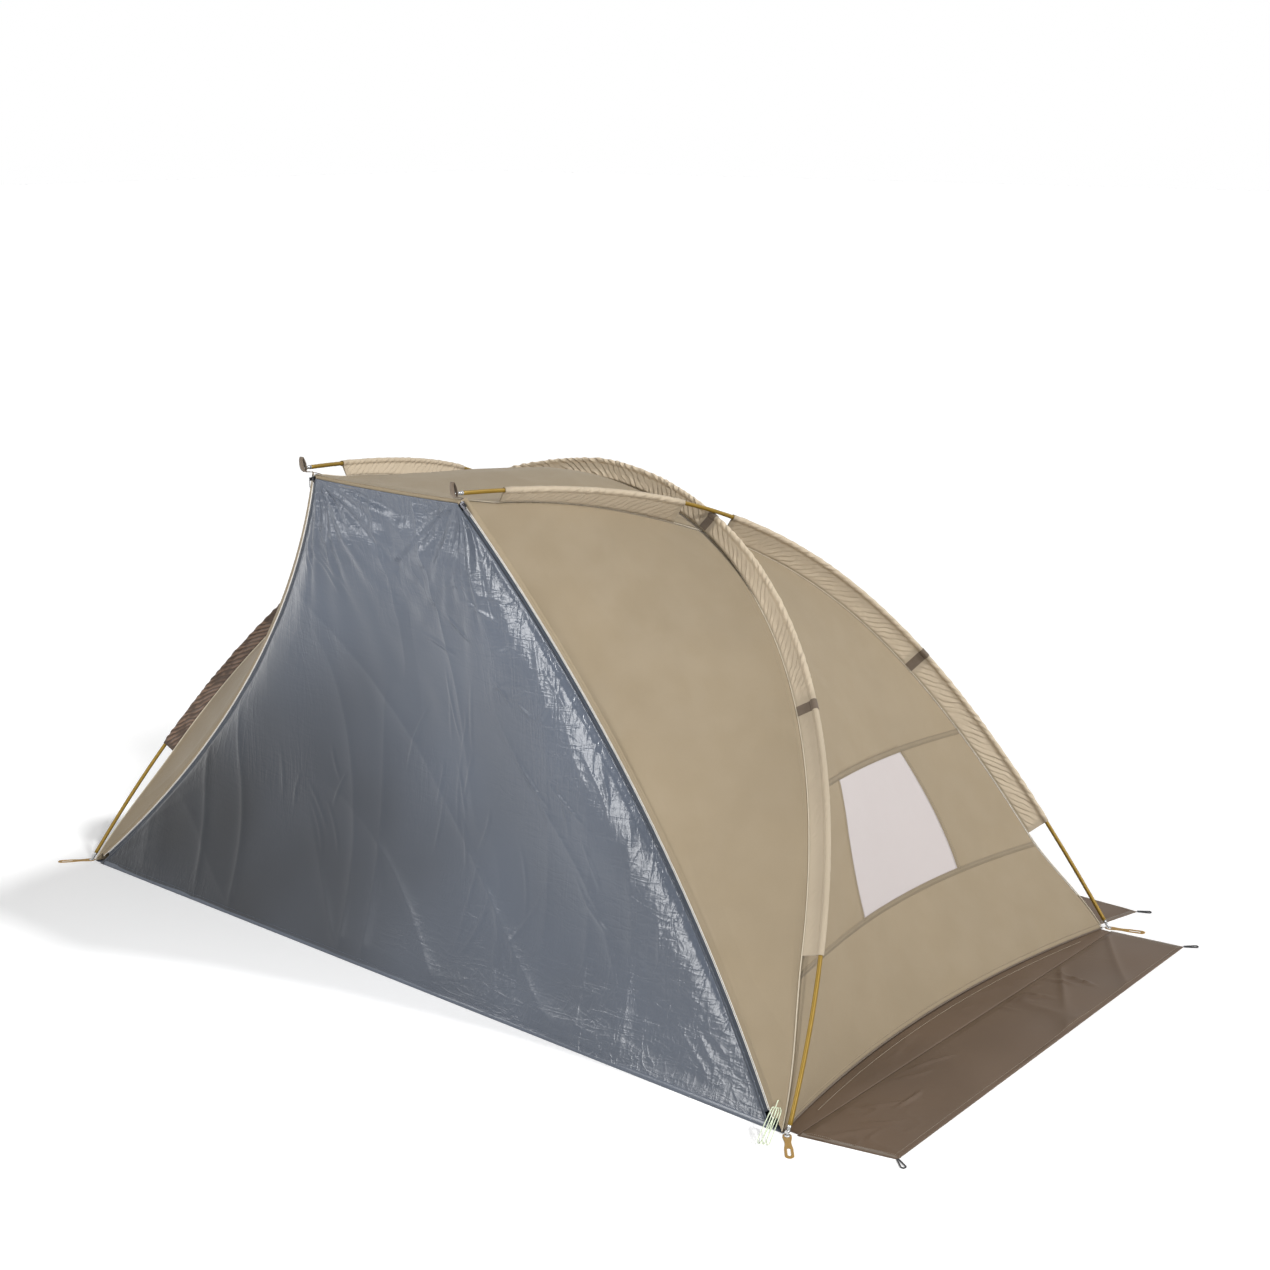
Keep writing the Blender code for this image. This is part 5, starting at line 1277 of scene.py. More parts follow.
def roof_front():
    """The roof's front edge, turned down behind the door's top edge."""
    u = evenly(120, 0.002, 0.998)
    high = roof(u, np.full_like(u, 0.004))
    low = door(u, np.zeros_like(u)) + (0.0, 0.0024, -0.0060)
    points = high + (low - high) * evenly(7)[:, None, None]
    thick = cloth_settings().canopy_thickness
    made = cloth_object("roof_front_edge", points, thick, finish("canopy cloth"))
    ride(made, "tent", slot="canopy")


def make_door():
    across, down = evenly(400), evenly(300)
    made = panel("door_cloth", "door", across, down, "coated door",
                 ["zip_tape_right", "zip_tape_left"], "door_panel")
    u, v = np.meshgrid(across, down)
    set_share(made, "pulled", door_pull(u, v))
    # The door's painted shade, darkest low down on its left
    set_share(made, "shaded", door_shade(u, v))


def door_shade(u, v):
    """How much painted shade darkens the door and thins its coat: most low down on its left."""
    return (0.16 + 0.58 * ease((u - 0.25) / 0.60)) * ease((v - 0.15) / 0.55)


def door_pull(u, v):
    """How strongly the door's cloth is drawn: most by both zips and in the top corners."""
    right = np.exp(-u / 0.16) + 0.7 * np.exp(-(1 - u) / 0.07)
    top = 0.9 * np.exp(-v / 0.22) + 0.16 * np.exp(-(1 - v) / 0.10)
    return np.clip(right * (1.0 - 0.3 * v) + top - 0.05, 0.0, 1.0)


def make_ground():
    for name, cloth, u, v, finish_name, node in (
            ("groundsheet_cloth", "groundsheet", evenly(130), evenly(90, 0.002, 1.0),
             "coated groundsheet", "groundsheet"),
            ("side_skirt_cloth", "skirt", evenly(16, 0.004, 1.0), evenly(120, 0.004, 0.996),
             "sand flap cloth", "side_skirt_right"),
            ("side_flap_cloth", "side flap", evenly(60), evenly(180), "sand flap cloth",
             "sand_flap_right"),
            ("rear_flap_cloth", "rear flap", evenly(260), evenly(40), "sand flap cloth",
             "sand_flap_rear")):
        panel(name, cloth, u, v, finish_name, ["floor"], node, "laid")


# Poles and their tips

# Along a pole from where two sections meet, and the change in radius: a swaged end and a groove
SECTION_PROFILE = ((-0.0200, 0.0), (-0.0190, -0.00015), (-0.0010, -0.00015), (-0.0003, 0.0),
                   (-0.0002, -0.0007), (0.0002, -0.0007), (0.0003, 0.0), (0.0100, 0.0))
SECTION_CLEAR = 0.028
POLE_CHAMFER = 0.0005
POLE_UP = (0.3, 1.0, 0.2)


def pole(name, line, sections, sign):
    """One bent tube with a fine groove where its sections meet and a swaged ferrule by each."""
    start, end = TIP_LENGTH, line.length - TIP_LENGTH
    stops = [start + (end - start) * (k / sections) for k in range(1, sections)]
    steps = [(s, 0.0) for s in evenly(200, start + 0.01, end - 0.01)
             if all(abs(s - stop) > SECTION_CLEAR for stop in stops)]
    steps += [(stop + along, change) for stop in stops for along, change in SECTION_PROFILE]
    steps += [(start, -POLE_CHAMFER), (start + POLE_CHAMFER, 0.0),
              (end - POLE_CHAMFER, 0.0), (end, -POLE_CHAMFER)]
    along, change = np.array(sorted(steps)).T
    made = tube(name, sided(line.at(along), sign), POLE_RADIUS + change, 28, finish("gold pole"),
                POLE_UP)
    ride(made, "tent", *[f"{name}_section_{k}" for k in range(1, sections + 1)], slot="pole")


# Along a tip from its point, and the radius there
TIP_PROFILE = ((0.0, 0.0006), (0.0006, 0.0012), (0.0030, 0.0024), (0.0076, 0.0024),
               (0.0080, 0.0034), (0.0090, 0.0036), (0.0120, 0.0036), (0.0122, 0.0033),
               (0.0128, 0.0033), (0.0130, 0.0036), (0.0180, 0.0036), (0.0182, 0.0045),
               (0.0217, 0.0046), (0.0220, 0.0041))


def pole_tip(name, line, at_end, sign, node):
    """A turned metal tip: a pin with a rounded point, a grooved body and a collar."""
    along, radii = np.array(TIP_PROFILE).T
    points = line.at(line.length - along if at_end else along)
    made = tube(name, sided(points, sign), radii, 24, finish("tip metal"), POLE_UP)
    ride(made, "tent", node, slot="tip_metal")


def make_poles():
    pole("hoop_pole", hoop, 6, 1)
    pole_tip("hoop_pin_right", hoop, False, 1, "hoop_tip_right")
    pole_tip("hoop_pin_left", hoop, True, 1, "hoop_tip_left")
    for side, sign in SIDES:
        pole(f"ridge_pole_{side}", ridge, 3, sign)
        pole_tip(f"ridge_pin_front_{side}", ridge, False, sign, f"ridge_tip_front_{side}")
        pole_tip(f"ridge_pin_rear_{side}", ridge, True, sign, f"ridge_tip_rear_{side}")


# Sleeves, the bands over them and the seams below

SLEEVE_ANGLE = 0.28
SLEEVE_WALL = 0.0005
SLEEVE_STEP = 0.0026
FIN_HALF = 0.0009
FIN_FOOT = 0.0012


def sleeve_section(height, grow=0.0, arc=22, fin=9):
    """Sideways and outward offsets round the pole, from one foot of the fin to the other."""
    angle = evenly(arc, -math.pi / 2 + SLEEVE_ANGLE, 1.5 * math.pi - SLEEVE_ANGLE)
    ring = (SLEEVE_RADIUS + grow) * np.stack([np.cos(angle), np.sin(angle)], axis=-1)
    foot = np.array([FIN_HALF + grow, -height + FIN_FOOT])
    near = foot + (ring[0] - foot) * evenly(fin)[:-1, None] ** np.array([1.6, 1.0])
    return np.vstack([near, ring, near[::-1] * (-1.0, 1.0)])


def sleeve_sheet(name, line, node, height_at, start, end, bands, depth, sign, seed,
                 painted_left_shade=None, slant=1.5, pitch=0.027):
    """A sleeve of cloth gathered round its pole, tight under its bands and at both ends."""
    along = np.append(np.arange(start, end, SLEEVE_STEP), end)
    point, _, out, side = line.frame(along)
    section = np.stack([sleeve_section(h) for h in height_at(along)])
    points = point[:, None] + (side[:, None] * section[..., :1] + out[:, None] * section[..., 1:])
    around = spans(points, 1)
    from_middle = around - around[:, -1:] / 2
    round_share = around / around[:, -1:]
    quiet = np.ones(len(along))
    for centre in bands:
        quiet *= ease((np.abs(along - centre) - BAND_WIDTH / 2) / 0.020)
    quiet *= ease((along - start) / 0.02) * ease((end - along) / 0.02)
    run = along[:, None] + slant * np.abs(from_middle)
    phase = run / pitch + 1.1 * lumps(run, around, (0.08, 0.05), seed)
    folds = (0.5 + 0.5 * np.cos(2 * math.pi * phase)) ** 1.5
    folds = folds * (0.62 + 0.38 * lumps(run, around, (0.035, 0.20), seed + 1))
    fixed = ease(round_share / 0.06) * ease((1 - round_share) / 0.06)
    deep = np.broadcast_to(depth(along), len(along))[:, None] * quiet[:, None]
    middle = point[:, None] + out[:, None] * np.minimum(section[..., 1:], 0.0)
    away = unit(points - middle)
    points = sided(points + away * (deep * folds * fixed)[..., None], sign)
    uv = np.stack([from_middle, np.repeat(along[:, None], around.shape[1], axis=1)], axis=-1)
    made = mesh_object(name, points.reshape(-1, 3), grid_faces(*around.shape),
                       finish("sleeve cloth"), uv.reshape(-1, 2), 80.0)
    # The gather share also sets painted shade: the finish darkens a sleeve where it lies smooth
    set_share(made, "gather", deep * fixed / 0.0030)
    # Marks the left side, which the finish paints brown as shade
    if painted_left_shade is not None:
        set_share(made, "painted_left_shade", painted_left_shade(along, round_share))
    face_out(made, sided(away, sign))
    thicken(made, SLEEVE_WALL)
    ride(made, "tent", node, slot="sleeve")


def set_share(made, name, values):
    """Keeps a share for each point, which the finish reads."""
    layer = made.data.attributes.new(name, "FLOAT", "POINT")
    layer.data.foreach_set("value", np.asarray(values, np.float32).ravel())


def face_out(made, away):
    """Turns a sheet's faces to the side that away points to."""
    normals = np.empty(len(made.data.vertices) * 3)
    made.data.vertices.foreach_get("normal", normals)
    if (normals.reshape(-1, 3) * away.reshape(-1, 3)).sum() < 0:
        made.data.flip_normals()


def hoop_painted_left_shade(along, round_share):
    """Where painted shade turns the sleeve brown: the left side, from a little below the crown down."""
    left = ease((along - hoop.length * 0.70) / 0.05)
    return np.repeat(left[:, None], round_share.shape[1], axis=1)


def hoop_gather(along):
    """Depth of the gathers: nearly none on the right leg's lower end, most over the crown."""
    band_at = HOOP_CROSS - HOOP_BAND_FROM_CROSSING
    return np.interp(along, [0.0, band_at, band_at + 0.05, HOOP_CROSS, hoop.length / 2,
                             hoop.length], [0.0004, 0.0005, 0.0014, 0.0020, 0.0030, 0.0024])


def make_sleeves():
    deep = cloth_settings().gather_depth
    bands = [HOOP_CROSS, HOOP_CROSS - HOOP_BAND_FROM_CROSSING]
    bands += [hoop.length - centre for centre in bands]
    sleeve_sheet("hoop_sleeve_cloth", hoop, "hoop_sleeve", hoop_sleeve_height,
                 HOOP_BARE_LEG, hoop.length - HOOP_BARE_LEG, bands,
                 lambda s: hoop_gather(s) * deep / 0.0024, 1, 101, hoop_painted_left_shade)
    ridge_band = RIDGE_CROSS + RIDGE_BAND_FROM_CROSSING
    for side, sign in SIDES:
        for part, start, end, tight, share, seed in (
                ("front", RIDGE_BARE_FRONT, RIDGE_BARE_FRONT + RIDGE_FRONT_SLEEVE_LENGTH, [], 0.5, 111),
                ("rear", RIDGE_CROSS + RIDGE_REAR_SLEEVE_START, ridge.length - RIDGE_BARE_LEG,
                 [ridge_band], 0.6, 121)):
            sleeve_sheet(f"ridge_{part}_sleeve_cloth_{side}", ridge,
                         f"ridge_sleeve_{part}_{side}", ridge_height, start, end, tight,
                         lambda s, share=share: deep * share, sign, seed, slant=2.2, pitch=0.036)
        for name, line, height_at, centre in (
                ("crossing_band", hoop, hoop_sleeve_height, HOOP_CROSS),
                ("hoop_band", hoop, hoop_sleeve_height, bands[1]),
                ("ridge_band", ridge, ridge_height, ridge_band)):
            band(f"{name}_webbing_{side}", line, height_at, centre, sign, f"{name}_{side}")


def band(name, line, height_at, centre, sign, node):
    """A webbing strap over a sleeve, open at the canopy, with thinned edges."""
    along = centre + evenly(13, -0.5, 0.5) * BAND_WIDTH
    edge = np.minimum(along - along[0], along[-1] - along)
    point, _, out, side = line.frame(along)
    rings = []
    for k, height in enumerate(height_at(along)):
        trim = 0.0003 * (1 - ease(edge[k] / 0.0012))
        walls = []
        for grow in (0.0016 - trim, 0.0004 + trim * 0.5):
            wall = sleeve_section(height, grow)
            wall[:, 1] = np.maximum(wall[:, 1], -height + 0.0030)
            walls.append(wall)
        section = np.vstack([walls[0], walls[1][::-1]])
        rings.append(point[k] + side[k] * section[:, :1] + out[k] * section[:, 1:])
    made = swept(name, sided(np.array(rings), sign), finish("brown webbing"), 50.0)
    ride(made, "tent", node, slot="webbing")


# Cords: the elastic loops at the flaps' corners and the folded guy line

ELASTIC_DIAMETER = 0.0030
ELASTIC_LENGTH = 0.034
ELASTIC_HALF_WIDTH = 0.005
CORD_DIAMETER = 0.0022
HANK_LOOPS = 3
HANK_LENGTH = 0.080
HANK_RADIUS = 0.0066
HANK_LAYER = 0.0056
HANK_TOP = (HALF_FRONT - 0.028, -HALF_DEPTH + 0.004, 0.050)
HANK_FOOT = (HALF_FRONT - 0.012, -HALF_DEPTH - 0.066, CORD_DIAMETER)
HANK_LEAD_BEND = 0.010
HANK_HOOK_SHARE = 0.38
HEM_ROW = 13 / 14
# The share of the wing's height at which the solid that the cord hangs from has its hem
HANK_WING_SHARE = 0.984


def smoothed(points, step):
    """The same route with its points an even step apart."""
    return evened(points, max(int(Line(points).length / step), 8))


def turned(flat, angle, place):
    """Flat points turned about the vertical and moved to a place."""
    x, y = flat[:, 0], flat[:, 1]
    c, s = math.cos(angle), math.sin(angle)
    return np.column_stack([place[0] + x * c - y * s, place[1] + x * s + y * c,
                            np.full(len(flat), place[2])])


def elastic_loop(name, node, body, start, angle):
    """Out from the corner, round and back, lying on the ground."""
    turn = evenly(25, -math.pi / 2, math.pi / 2)
    half = ELASTIC_HALF_WIDTH
    x = np.concatenate([[0.0003], ELASTIC_LENGTH - half + half * np.cos(turn), [0.0003]])
    y = np.concatenate([[-0.35 * half], half * np.sin(turn), [0.35 * half]])
    points = turned(np.column_stack([x, y]), angle, (start[0], start[1], ELASTIC_DIAMETER / 2))
    path = smoothed(points, 0.0012)
    made = tube(name, path, ELASTIC_DIAMETER / 2, 14, finish("black elastic"))
    ride(made, body, node, slot="elastic")


def loop_point(share):
    """A point of a long loop with round ends, from the middle of its top, as (wide, long)."""
    radius, run = HANK_RADIUS, HANK_LENGTH - 2 * HANK_RADIUS
    quarter = math.pi * radius / 2
    along = share % 1.0 * (4 * quarter + 2 * run)
    if along < quarter:
        return radius * math.sin(along / radius), radius * (1 - math.cos(along / radius))
    if along < quarter + run:
        return radius, radius + along - quarter
    if along < 3 * quarter + run:
        angle = (along - quarter - run) / radius
        return radius * math.cos(angle), radius + run + radius * math.sin(angle)
    if along < 3 * quarter + 2 * run:
        return -radius, radius + run - (along - 3 * quarter - run)
    angle = (along - 3 * quarter - 2 * run) / radius
    return -radius * math.cos(angle), radius * (1 - math.sin(angle))


def hank_hook():
    """A place just in front of the wing, above its hem, and the direction away from the cloth."""
    u = np.array([0.5, 0.5, 0.625])
    v = np.array([1.0, HEM_ROW, 1.0]) * HANK_WING_SHARE
    hem, above, beside = wing(u, v)
    away = unit(np.cross(beside - hem, above - hem))
    away = away * -np.sign(away[1])
    return hem + (above - hem) * HANK_HOOK_SHARE + away * 0.00085, away


def guy_line():
    """One cord folded into hanging loops at the front right corner."""
    top, foot = np.array(HANK_TOP), np.array(HANK_FOOT)
    down = unit(foot - top)
    layers = unit(RIGHT - down * (RIGHT @ down))
    across = np.cross(down, layers)
    turns = evenly(HANK_LOOPS * 60 + 1, 0.0, HANK_LOOPS)
    flat = np.array([(*loop_point(t), (t - HANK_LOOPS / 2) * HANK_LAYER) for t in turns])
    flat[:, 2] *= 0.85 + 0.9 * np.clip(flat[:, 1] / HANK_LENGTH, 0.0, 1.0)
    points = top + across * flat[:, :1] + down * flat[:, 1:2] + layers * flat[:, 2:]
    hook, away = hank_hook()
    clear = hook + away * CORD_DIAMETER
    lead = bezier([clear, clear + away * HANK_LEAD_BEND, points[0] - across * HANK_LEAD_BEND,
                   points[0]], 24)
    path = np.vstack([hook, lead[:-1], points, points[-1] + across * CORD_DIAMETER * 1.5])
    path = smoothed(path, 0.0014)
    made = tube("guy_line", path, CORD_DIAMETER / 2, 10, finish("guy line"))
    ride(made, "tent", "guyline_hank", slot="guy_line")


def make_cords():
    front = flap_fold(np.array(0.0)) + (*FLAP_FRONT_REACH, 0.0)
    rear = flap_fold(np.array(1.0)) + (*FLAP_REAR_REACH, 0.0)
    corner = rear_flap(np.array(0.0), np.array(1.0))
    elastic_loop("front_corner_loop", "flap_loop_front", "side_flap", front, math.radians(-35.0))
    elastic_loop("rear_corner_loop", "flap_loop_rear", "side_flap", rear, math.radians(40.0))
    elastic_loop("back_corner_loop", "rear_flap_loop", "rear_flap", corner, math.radians(30.0))
    guy_line()


# Tip tabs and corner straps

STRAP_LENGTH = 0.078
STRAP_END_RADIUS = 0.009
STRAP_THICKNESS = 0.0016
STRAP_HOLE_RADIUS = 0.0054
SLOT_LENGTH = 0.023
SLOT_WIDTH = 0.007
SLOT_FROM_END = 0.0265
STITCH_GAP = 0.00175
EYELET_RADIUS = 0.0062
EYELET_THICKNESS = 0.0010


def eyelet(name, centre, count=40, sides=12):
    """A closed metal ring lying flat round a centre."""
    section = circle(EYELET_THICKNESS, sides)
    wide, high = EYELET_RADIUS + section[:, :1], section[:, 1:] * 1.05
    rings = np.stack([np.hstack([wide * math.cos(a), wide * math.sin(a), high])
                      for a in np.linspace(0.0, 2 * math.pi, count, endpoint=False)]) + centre
    rings = np.concatenate([rings, rings[:1]])
    faces = grid_faces(count + 1, sides, True) % (count * sides)
    uv = metre_map(rings)[:count * sides]
    made = mesh_object(name, rings[:-1].reshape(-1, 3), faces, finish("tip metal"), uv)
    outward(made)
    ride(made, "tent", slot="tip_metal")


def cut_from_webbing(name, outlines, thickness, place, angle, look):
    """A flat shape with round edges between closed outlines. The first is its outer edge."""
    data = poly_curve(name, [np.pad(outline, ((0, 0), (0, 1))) for outline in outlines], True)
    data.fill_mode = "BOTH"
    data.bevel_depth = 0.0004
    data.bevel_resolution = 2
    data.extrude = thickness / 2 - data.bevel_depth
    data.offset = -data.bevel_depth
    mesh = evaluated_mesh(placed(name + " guide", data))
    with edited(mesh) as bm:
        bmesh.ops.remove_doubles(bm, verts=bm.verts, dist=1e-6)
        bmesh.ops.recalc_face_normals(bm, faces=bm.faces)
        layer = bm.loops.layers.uv.verify()
        for face in bm.faces:
            for loop in face.loops:
                loop[layer].uv = (loop.vert.co.y, loop.vert.co.x)
    mesh.transform(Matrix.Translation(place) @ Matrix.Rotation(angle, 4, "Z"))
    mesh.materials.clear()
    mesh.materials.append(look)
    mesh.shade_smooth()
    mesh.set_sharp_from_angle(angle=math.radians(40.0))
    return placed(name, mesh)


def strap_outline(steps=14):
    """Round at the pole's foot, narrow in the middle and bulbous round the peg slot."""
    x = evenly(60)
    half = np.interp(x, [0.0, 0.14, 0.30, 0.46, 0.60, 1.0],
                     [STRAP_END_RADIUS, 0.0088, 0.0062, 0.0066, STRAP_END_RADIUS, STRAP_END_RADIUS])
    half = np.convolve(np.pad(half, 5, "edge"), np.ones(11) / 11, "valid")
    upper = np.column_stack([x * STRAP_LENGTH, half])
    turn = evenly(steps, math.pi / 2, -math.pi / 2)[1:-1]
    far = STRAP_END_RADIUS * np.column_stack([np.cos(turn), np.sin(turn)])
    return np.vstack([upper, far + (STRAP_LENGTH, 0.0), upper[::-1] * (1.0, -1.0), -far])


def slot_outline(start, length, width, steps=9):
    turn = evenly(steps, math.pi / 2, -math.pi / 2)
    far = np.column_stack([start + length + width / 2 * np.cos(turn), width / 2 * np.sin(turn)])
    near = np.column_stack([start - width / 2 * np.cos(turn), -width / 2 * np.sin(turn)])
    return np.vstack([far, near])


def corner_strap(corner, side, foot, angle, sign):
    name = f"corner_strap_{corner}_{side}"
    start = STRAP_LENGTH - SLOT_FROM_END
    outlines = [strap_outline(), slot_outline(start, SLOT_LENGTH, SLOT_WIDTH),
                circle(STRAP_HOLE_RADIUS, 28)]
    turn = angle if sign > 0 else math.pi - angle
    place = (foot[0] * sign, foot[1], STRAP_THICKNESS / 2)
    made = cut_from_webbing(f"{name}_webbing", outlines, STRAP_THICKNESS, place, turn,
                            finish("gold webbing"))
    ride(made, "tent", name, slot="strap")
    eyelet(f"{name}_eyelet", place)
    row = slot_outline(start - 0.001, SLOT_LENGTH + 0.002, SLOT_WIDTH + 2 * STITCH_GAP)
    row = turned(np.vstack([row, row[:1]]), turn, (place[0], place[1], STRAP_THICKNESS))
    made = repeated(f"{name}_stitches", [row], bead("strap stitch", 0.0018, 0.0005, 0.0003),
                    0.0024, UP, finish("thread"))
    ride(made, "tent", slot="strap")


TAB_HEIGHT = 0.034
TAB_DEPTH = 0.012
TAB_FOOT = 0.008
TAB_LEAN = 0.006
TAB_WALL = 0.0017
TAB_WIDTH_SHARES = (0.0, 0.06, 0.5, 0.94, 1.0)
TAB_WIDTHS = (0.0120, 0.0150, 0.0110, 0.0150, 0.0120)
TAIL_WIDTH = 0.0120
TAIL_WALL = 0.0014


def tip_tab(side, sign):
    """A leaf-shaped loop of webbing round the ridge pole's pin, with its tail to the roof."""
    tip, forward, _, _ = ridge.frame(np.array(0.0))
    tilt = math.sqrt(1.0 - forward[1] ** 2)
    back = tip[1] + 0.008 * forward[1] - 0.0036 * tilt - 0.0003
    share = evenly(40)
    swell = np.sin(math.pi * share) ** 0.55 * (1.0 - 0.25 * share)
    half = (TAB_DEPTH / 2 - TAB_WALL / 2) * swell
    middle = np.column_stack([np.full(40, tip[0]), back - TAB_DEPTH / 2 - TAB_LEAN * share,
                              tip[2] - TAB_FOOT + TAB_WALL / 2 + (TAB_HEIGHT - TAB_WALL) * share])
    aside = half[:, None] * (0.0, 1.0, 0.0)
    loop = np.vstack([middle - aside, (middle + aside)[::-1][1:]])
    tail_start = loop[-1] + (0.0, 0.0006, -0.0012)
    tail_end = ARC_TOP + UP * 0.0022 + (-0.0069, 0.012, 0.0)
    tail = tail_start + (tail_end - tail_start) * evenly(16)[:, None]
    tail[:, 2] += 0.0015 * np.sin(evenly(16, 0.0, math.pi))
    width = np.interp(evenly(len(loop)), TAB_WIDTH_SHARES, TAB_WIDTHS)
    look = finish("brown webbing")
    made = join_pieces(f"tip_tab_webbing_{side}", [
        ribbon(f"tip_tab_loop_{side}", sided(loop, sign), RIGHT, width, TAB_WALL, look),
        ribbon(f"tip_tab_tail_{side}", sided(tail, sign), RIGHT, TAIL_WIDTH, TAIL_WALL, look)])
    ride(made, "tent", f"tip_tab_{side}", slot="webbing")


def make_webbing():
    for side, sign in SIDES:
        tip_tab(side, sign)
        corner_strap("front", side, (HALF_FRONT, -HALF_DEPTH), math.radians(-50.0), sign)
        corner_strap("rear", side, (HALF_REAR, HALF_DEPTH), math.radians(20.0), sign)


# Zips

TAPE_INNER = 0.0007
TAPE_WIDTH = 0.0095
TAPE_THICKNESS = 0.0007
TAPE_OVERLAP = 0.0045
TAPE_LIFT = 0.0007
CHAIN_OFFSET = 0.0014
CHAIN_RADIUS = 0.0007
CHAIN_INSET = 0.001
TOOTH_OFFSET = 0.0013


def zip_line(offset, start, end, sign):
    points, outs = arc_point(evenly(260, start, end))
    axis = np.broadcast_to(ARC_AXIS, points.shape)
    return [sided(values, sign) for values in (points + ARC_AXIS * offset, axis, outs)]


def zip_half(name, sign, direction, start, end, body, node):
    """A tape, a cord and teeth beside the zip line. Direction is 1 on the wing, -1 on the door."""
    width = TAPE_WIDTH + (TAPE_OVERLAP if direction > 0 else 0.0)
    points, axis, outs = zip_line(direction * (TAPE_INNER + width / 2), start, end, sign)
    # On the door the tape is a darker navy, partly painted shade of the edge rolled toward the zip
    tape = ribbon(name, points + outs * TAPE_LIFT, axis, width, TAPE_THICKNESS,
                  finish("door binding" if direction < 0 else "canopy cloth"))
    ride(tape, body, node, slot="zip_tape")
    start, end = start + CHAIN_INSET, end - CHAIN_INSET
    chain = zip_line(direction * CHAIN_OFFSET, start, end, sign)[0]
    cord = tube(f"{name}_core", chain, CHAIN_RADIUS, 8, finish("zip chain"))
    ride(cord, body, slot="zip_tape")
    pitch = trim_settings().tooth_pitch
    shift = 0.0 if direction > 0 else pitch / 2
    inner = zip_line(direction * TOOTH_OFFSET, start + shift, end, sign)[0]
    teeth = repeated(f"{name}_teeth", [inner], bead("tooth", 0.0013, 0.0020, 0.0016), pitch,
                     sided(ARC_AXIS, sign), finish("zip chain"))
    ride(teeth, body, slot="zip_tape")


def make_zips():
    for side, sign in SIDES:
        end = ARC_LENGTH - ZIP_END
        zip_half(f"zip_tape_cloth_{side}", sign, 1, 0.0, end, "tent", f"zip_tape_{side}")
        zip_half(f"door_zip_cloth_{side}", sign, -1, SLIDER_PARK, end - SLIDER_PARK, "door",
                 f"door_zip_{side}")
        for node in (f"zip_slider_{side}", f"zip_puller_{side}"):
            for slot in NODES[node].material_slots:
                slot.material = finish("zip slider")


# Seams, hems and stitches


def cloth_line(cloth, u, v, lift):
    """Points along a cloth, lifted off it, and the direction across them in its surface."""
    u, v = np.broadcast_arrays(np.asarray(u, float), np.asarray(v, float))
    points = cloth.at(u, v, lift)
    _, out = cloth.base(u, v)
    tangent = unit(np.gradient(points, axis=0))
    return points, unit(np.cross(tangent, out))


def hem(name, cloth, u, v, width, finish_name, lift=0.0004, thickness=0.0006):
    """A flat fold of cloth or webbing sewn along a cloth."""
    points, across = cloth_line(cloth, u, v, lift)
    made = ribbon(name, points, across, width, thickness, finish(finish_name))
    ride(made, cloth.body, slot=cloth.slot)


def stitch_rows(name, cloth, rows, finish_name, lift):
    lines = [cloth_line(cloth, u, v, lift)[0] for u, v in rows]
    pitch = cloth_settings().stitch_pitch
    piece = bead("stitch", pitch * 0.62, 0.0009, 0.0005)
    made = repeated(name, lines, piece, pitch, UP, finish(finish_name))
    ride(made, cloth.body, slot=cloth.slot)


def piping(name, line, start, end, sign, lift, radius):
    """A cord in a seam along a line, from start to end, lifted off it."""
    points = line.at(evenly(260, start, end)) + lift
    made = tube(name, sided(points, sign), radius, 12, finish("piping"), PIPING_UP)
    ride(made, "tent", slot="canopy")


# Widths of the folds sewn along the cloths, and how far stitches lie from a seam's middle
SEAM_WIDTH = 0.013
HEM_WIDTH = 0.014
FLAP_HEM_WIDTH = 0.010
NARROW_SEAM_WIDTH = 0.012
WINDOW_TURN_WIDTH = 0.010
SEAM_STITCH_SHIFT = 0.0046
# The share of the wall's width that each turned edge of the window is given
WINDOW_TURN_SHARE = 0.010
REAR_SEAM_SHARES = (0.34, 0.72)
PIPING_UP = (0.2, 1.0, 0.3)


def wall_seams(side):
    """Two folded seams, the window's turned edges and the lower hem."""
    wall = CLOTHS[f"wall {side}"]
    tall = hoop_leg_seam.length
    shift = SEAM_STITCH_SHIFT / tall
    across = evenly(220, 0.006, 0.994)
    rows = []
    for k, row in enumerate(SEAM_ROW_SHARES):
        hem(f"wall_seam_{k + 1}_{side}", wall, across, row, SEAM_WIDTH, "seam cloth", 0.0014, 0.0012)
        rows += [(across, row - shift), (across, row + shift)]
    upper, lower = SEAM_ROW_SHARES
    down = evenly(120, upper + 0.002, lower - 0.002)
    for k, (edge, turn) in enumerate(zip(window_sides(down), (-WINDOW_TURN_SHARE, WINDOW_TURN_SHARE))):
        hem(f"window_edge_{k + 1}_{side}", wall, edge + turn * 0.5, down, WINDOW_TURN_WIDTH,
            "canopy cloth")
        rows += [(edge + turn * 0.25, down), (edge + turn * 0.8, down)]
    rows.append((across, 1 - 0.016 / tall))
    hem(f"wall_hem_{side}", wall, across, 1 - 0.008 / tall, HEM_WIDTH, "canopy cloth")
    stitch_rows(f"wall_stitches_{side}", wall, rows, "dark thread", 0.0021)


def wing_seams(side):
    cloth = CLOTHS[f"wing {side}"]
    across, down = evenly(120, 0.01, 0.99), evenly(200, 0.02, 0.985)
    hem(f"wing_hem_{side}", cloth, across, 0.992, HEM_WIDTH, "canopy cloth")
    stitch_rows(f"wing_stitches_{side}", cloth, [(across, 0.984), (0.03, down), (0.975, down)],
                "thread", 0.0006)


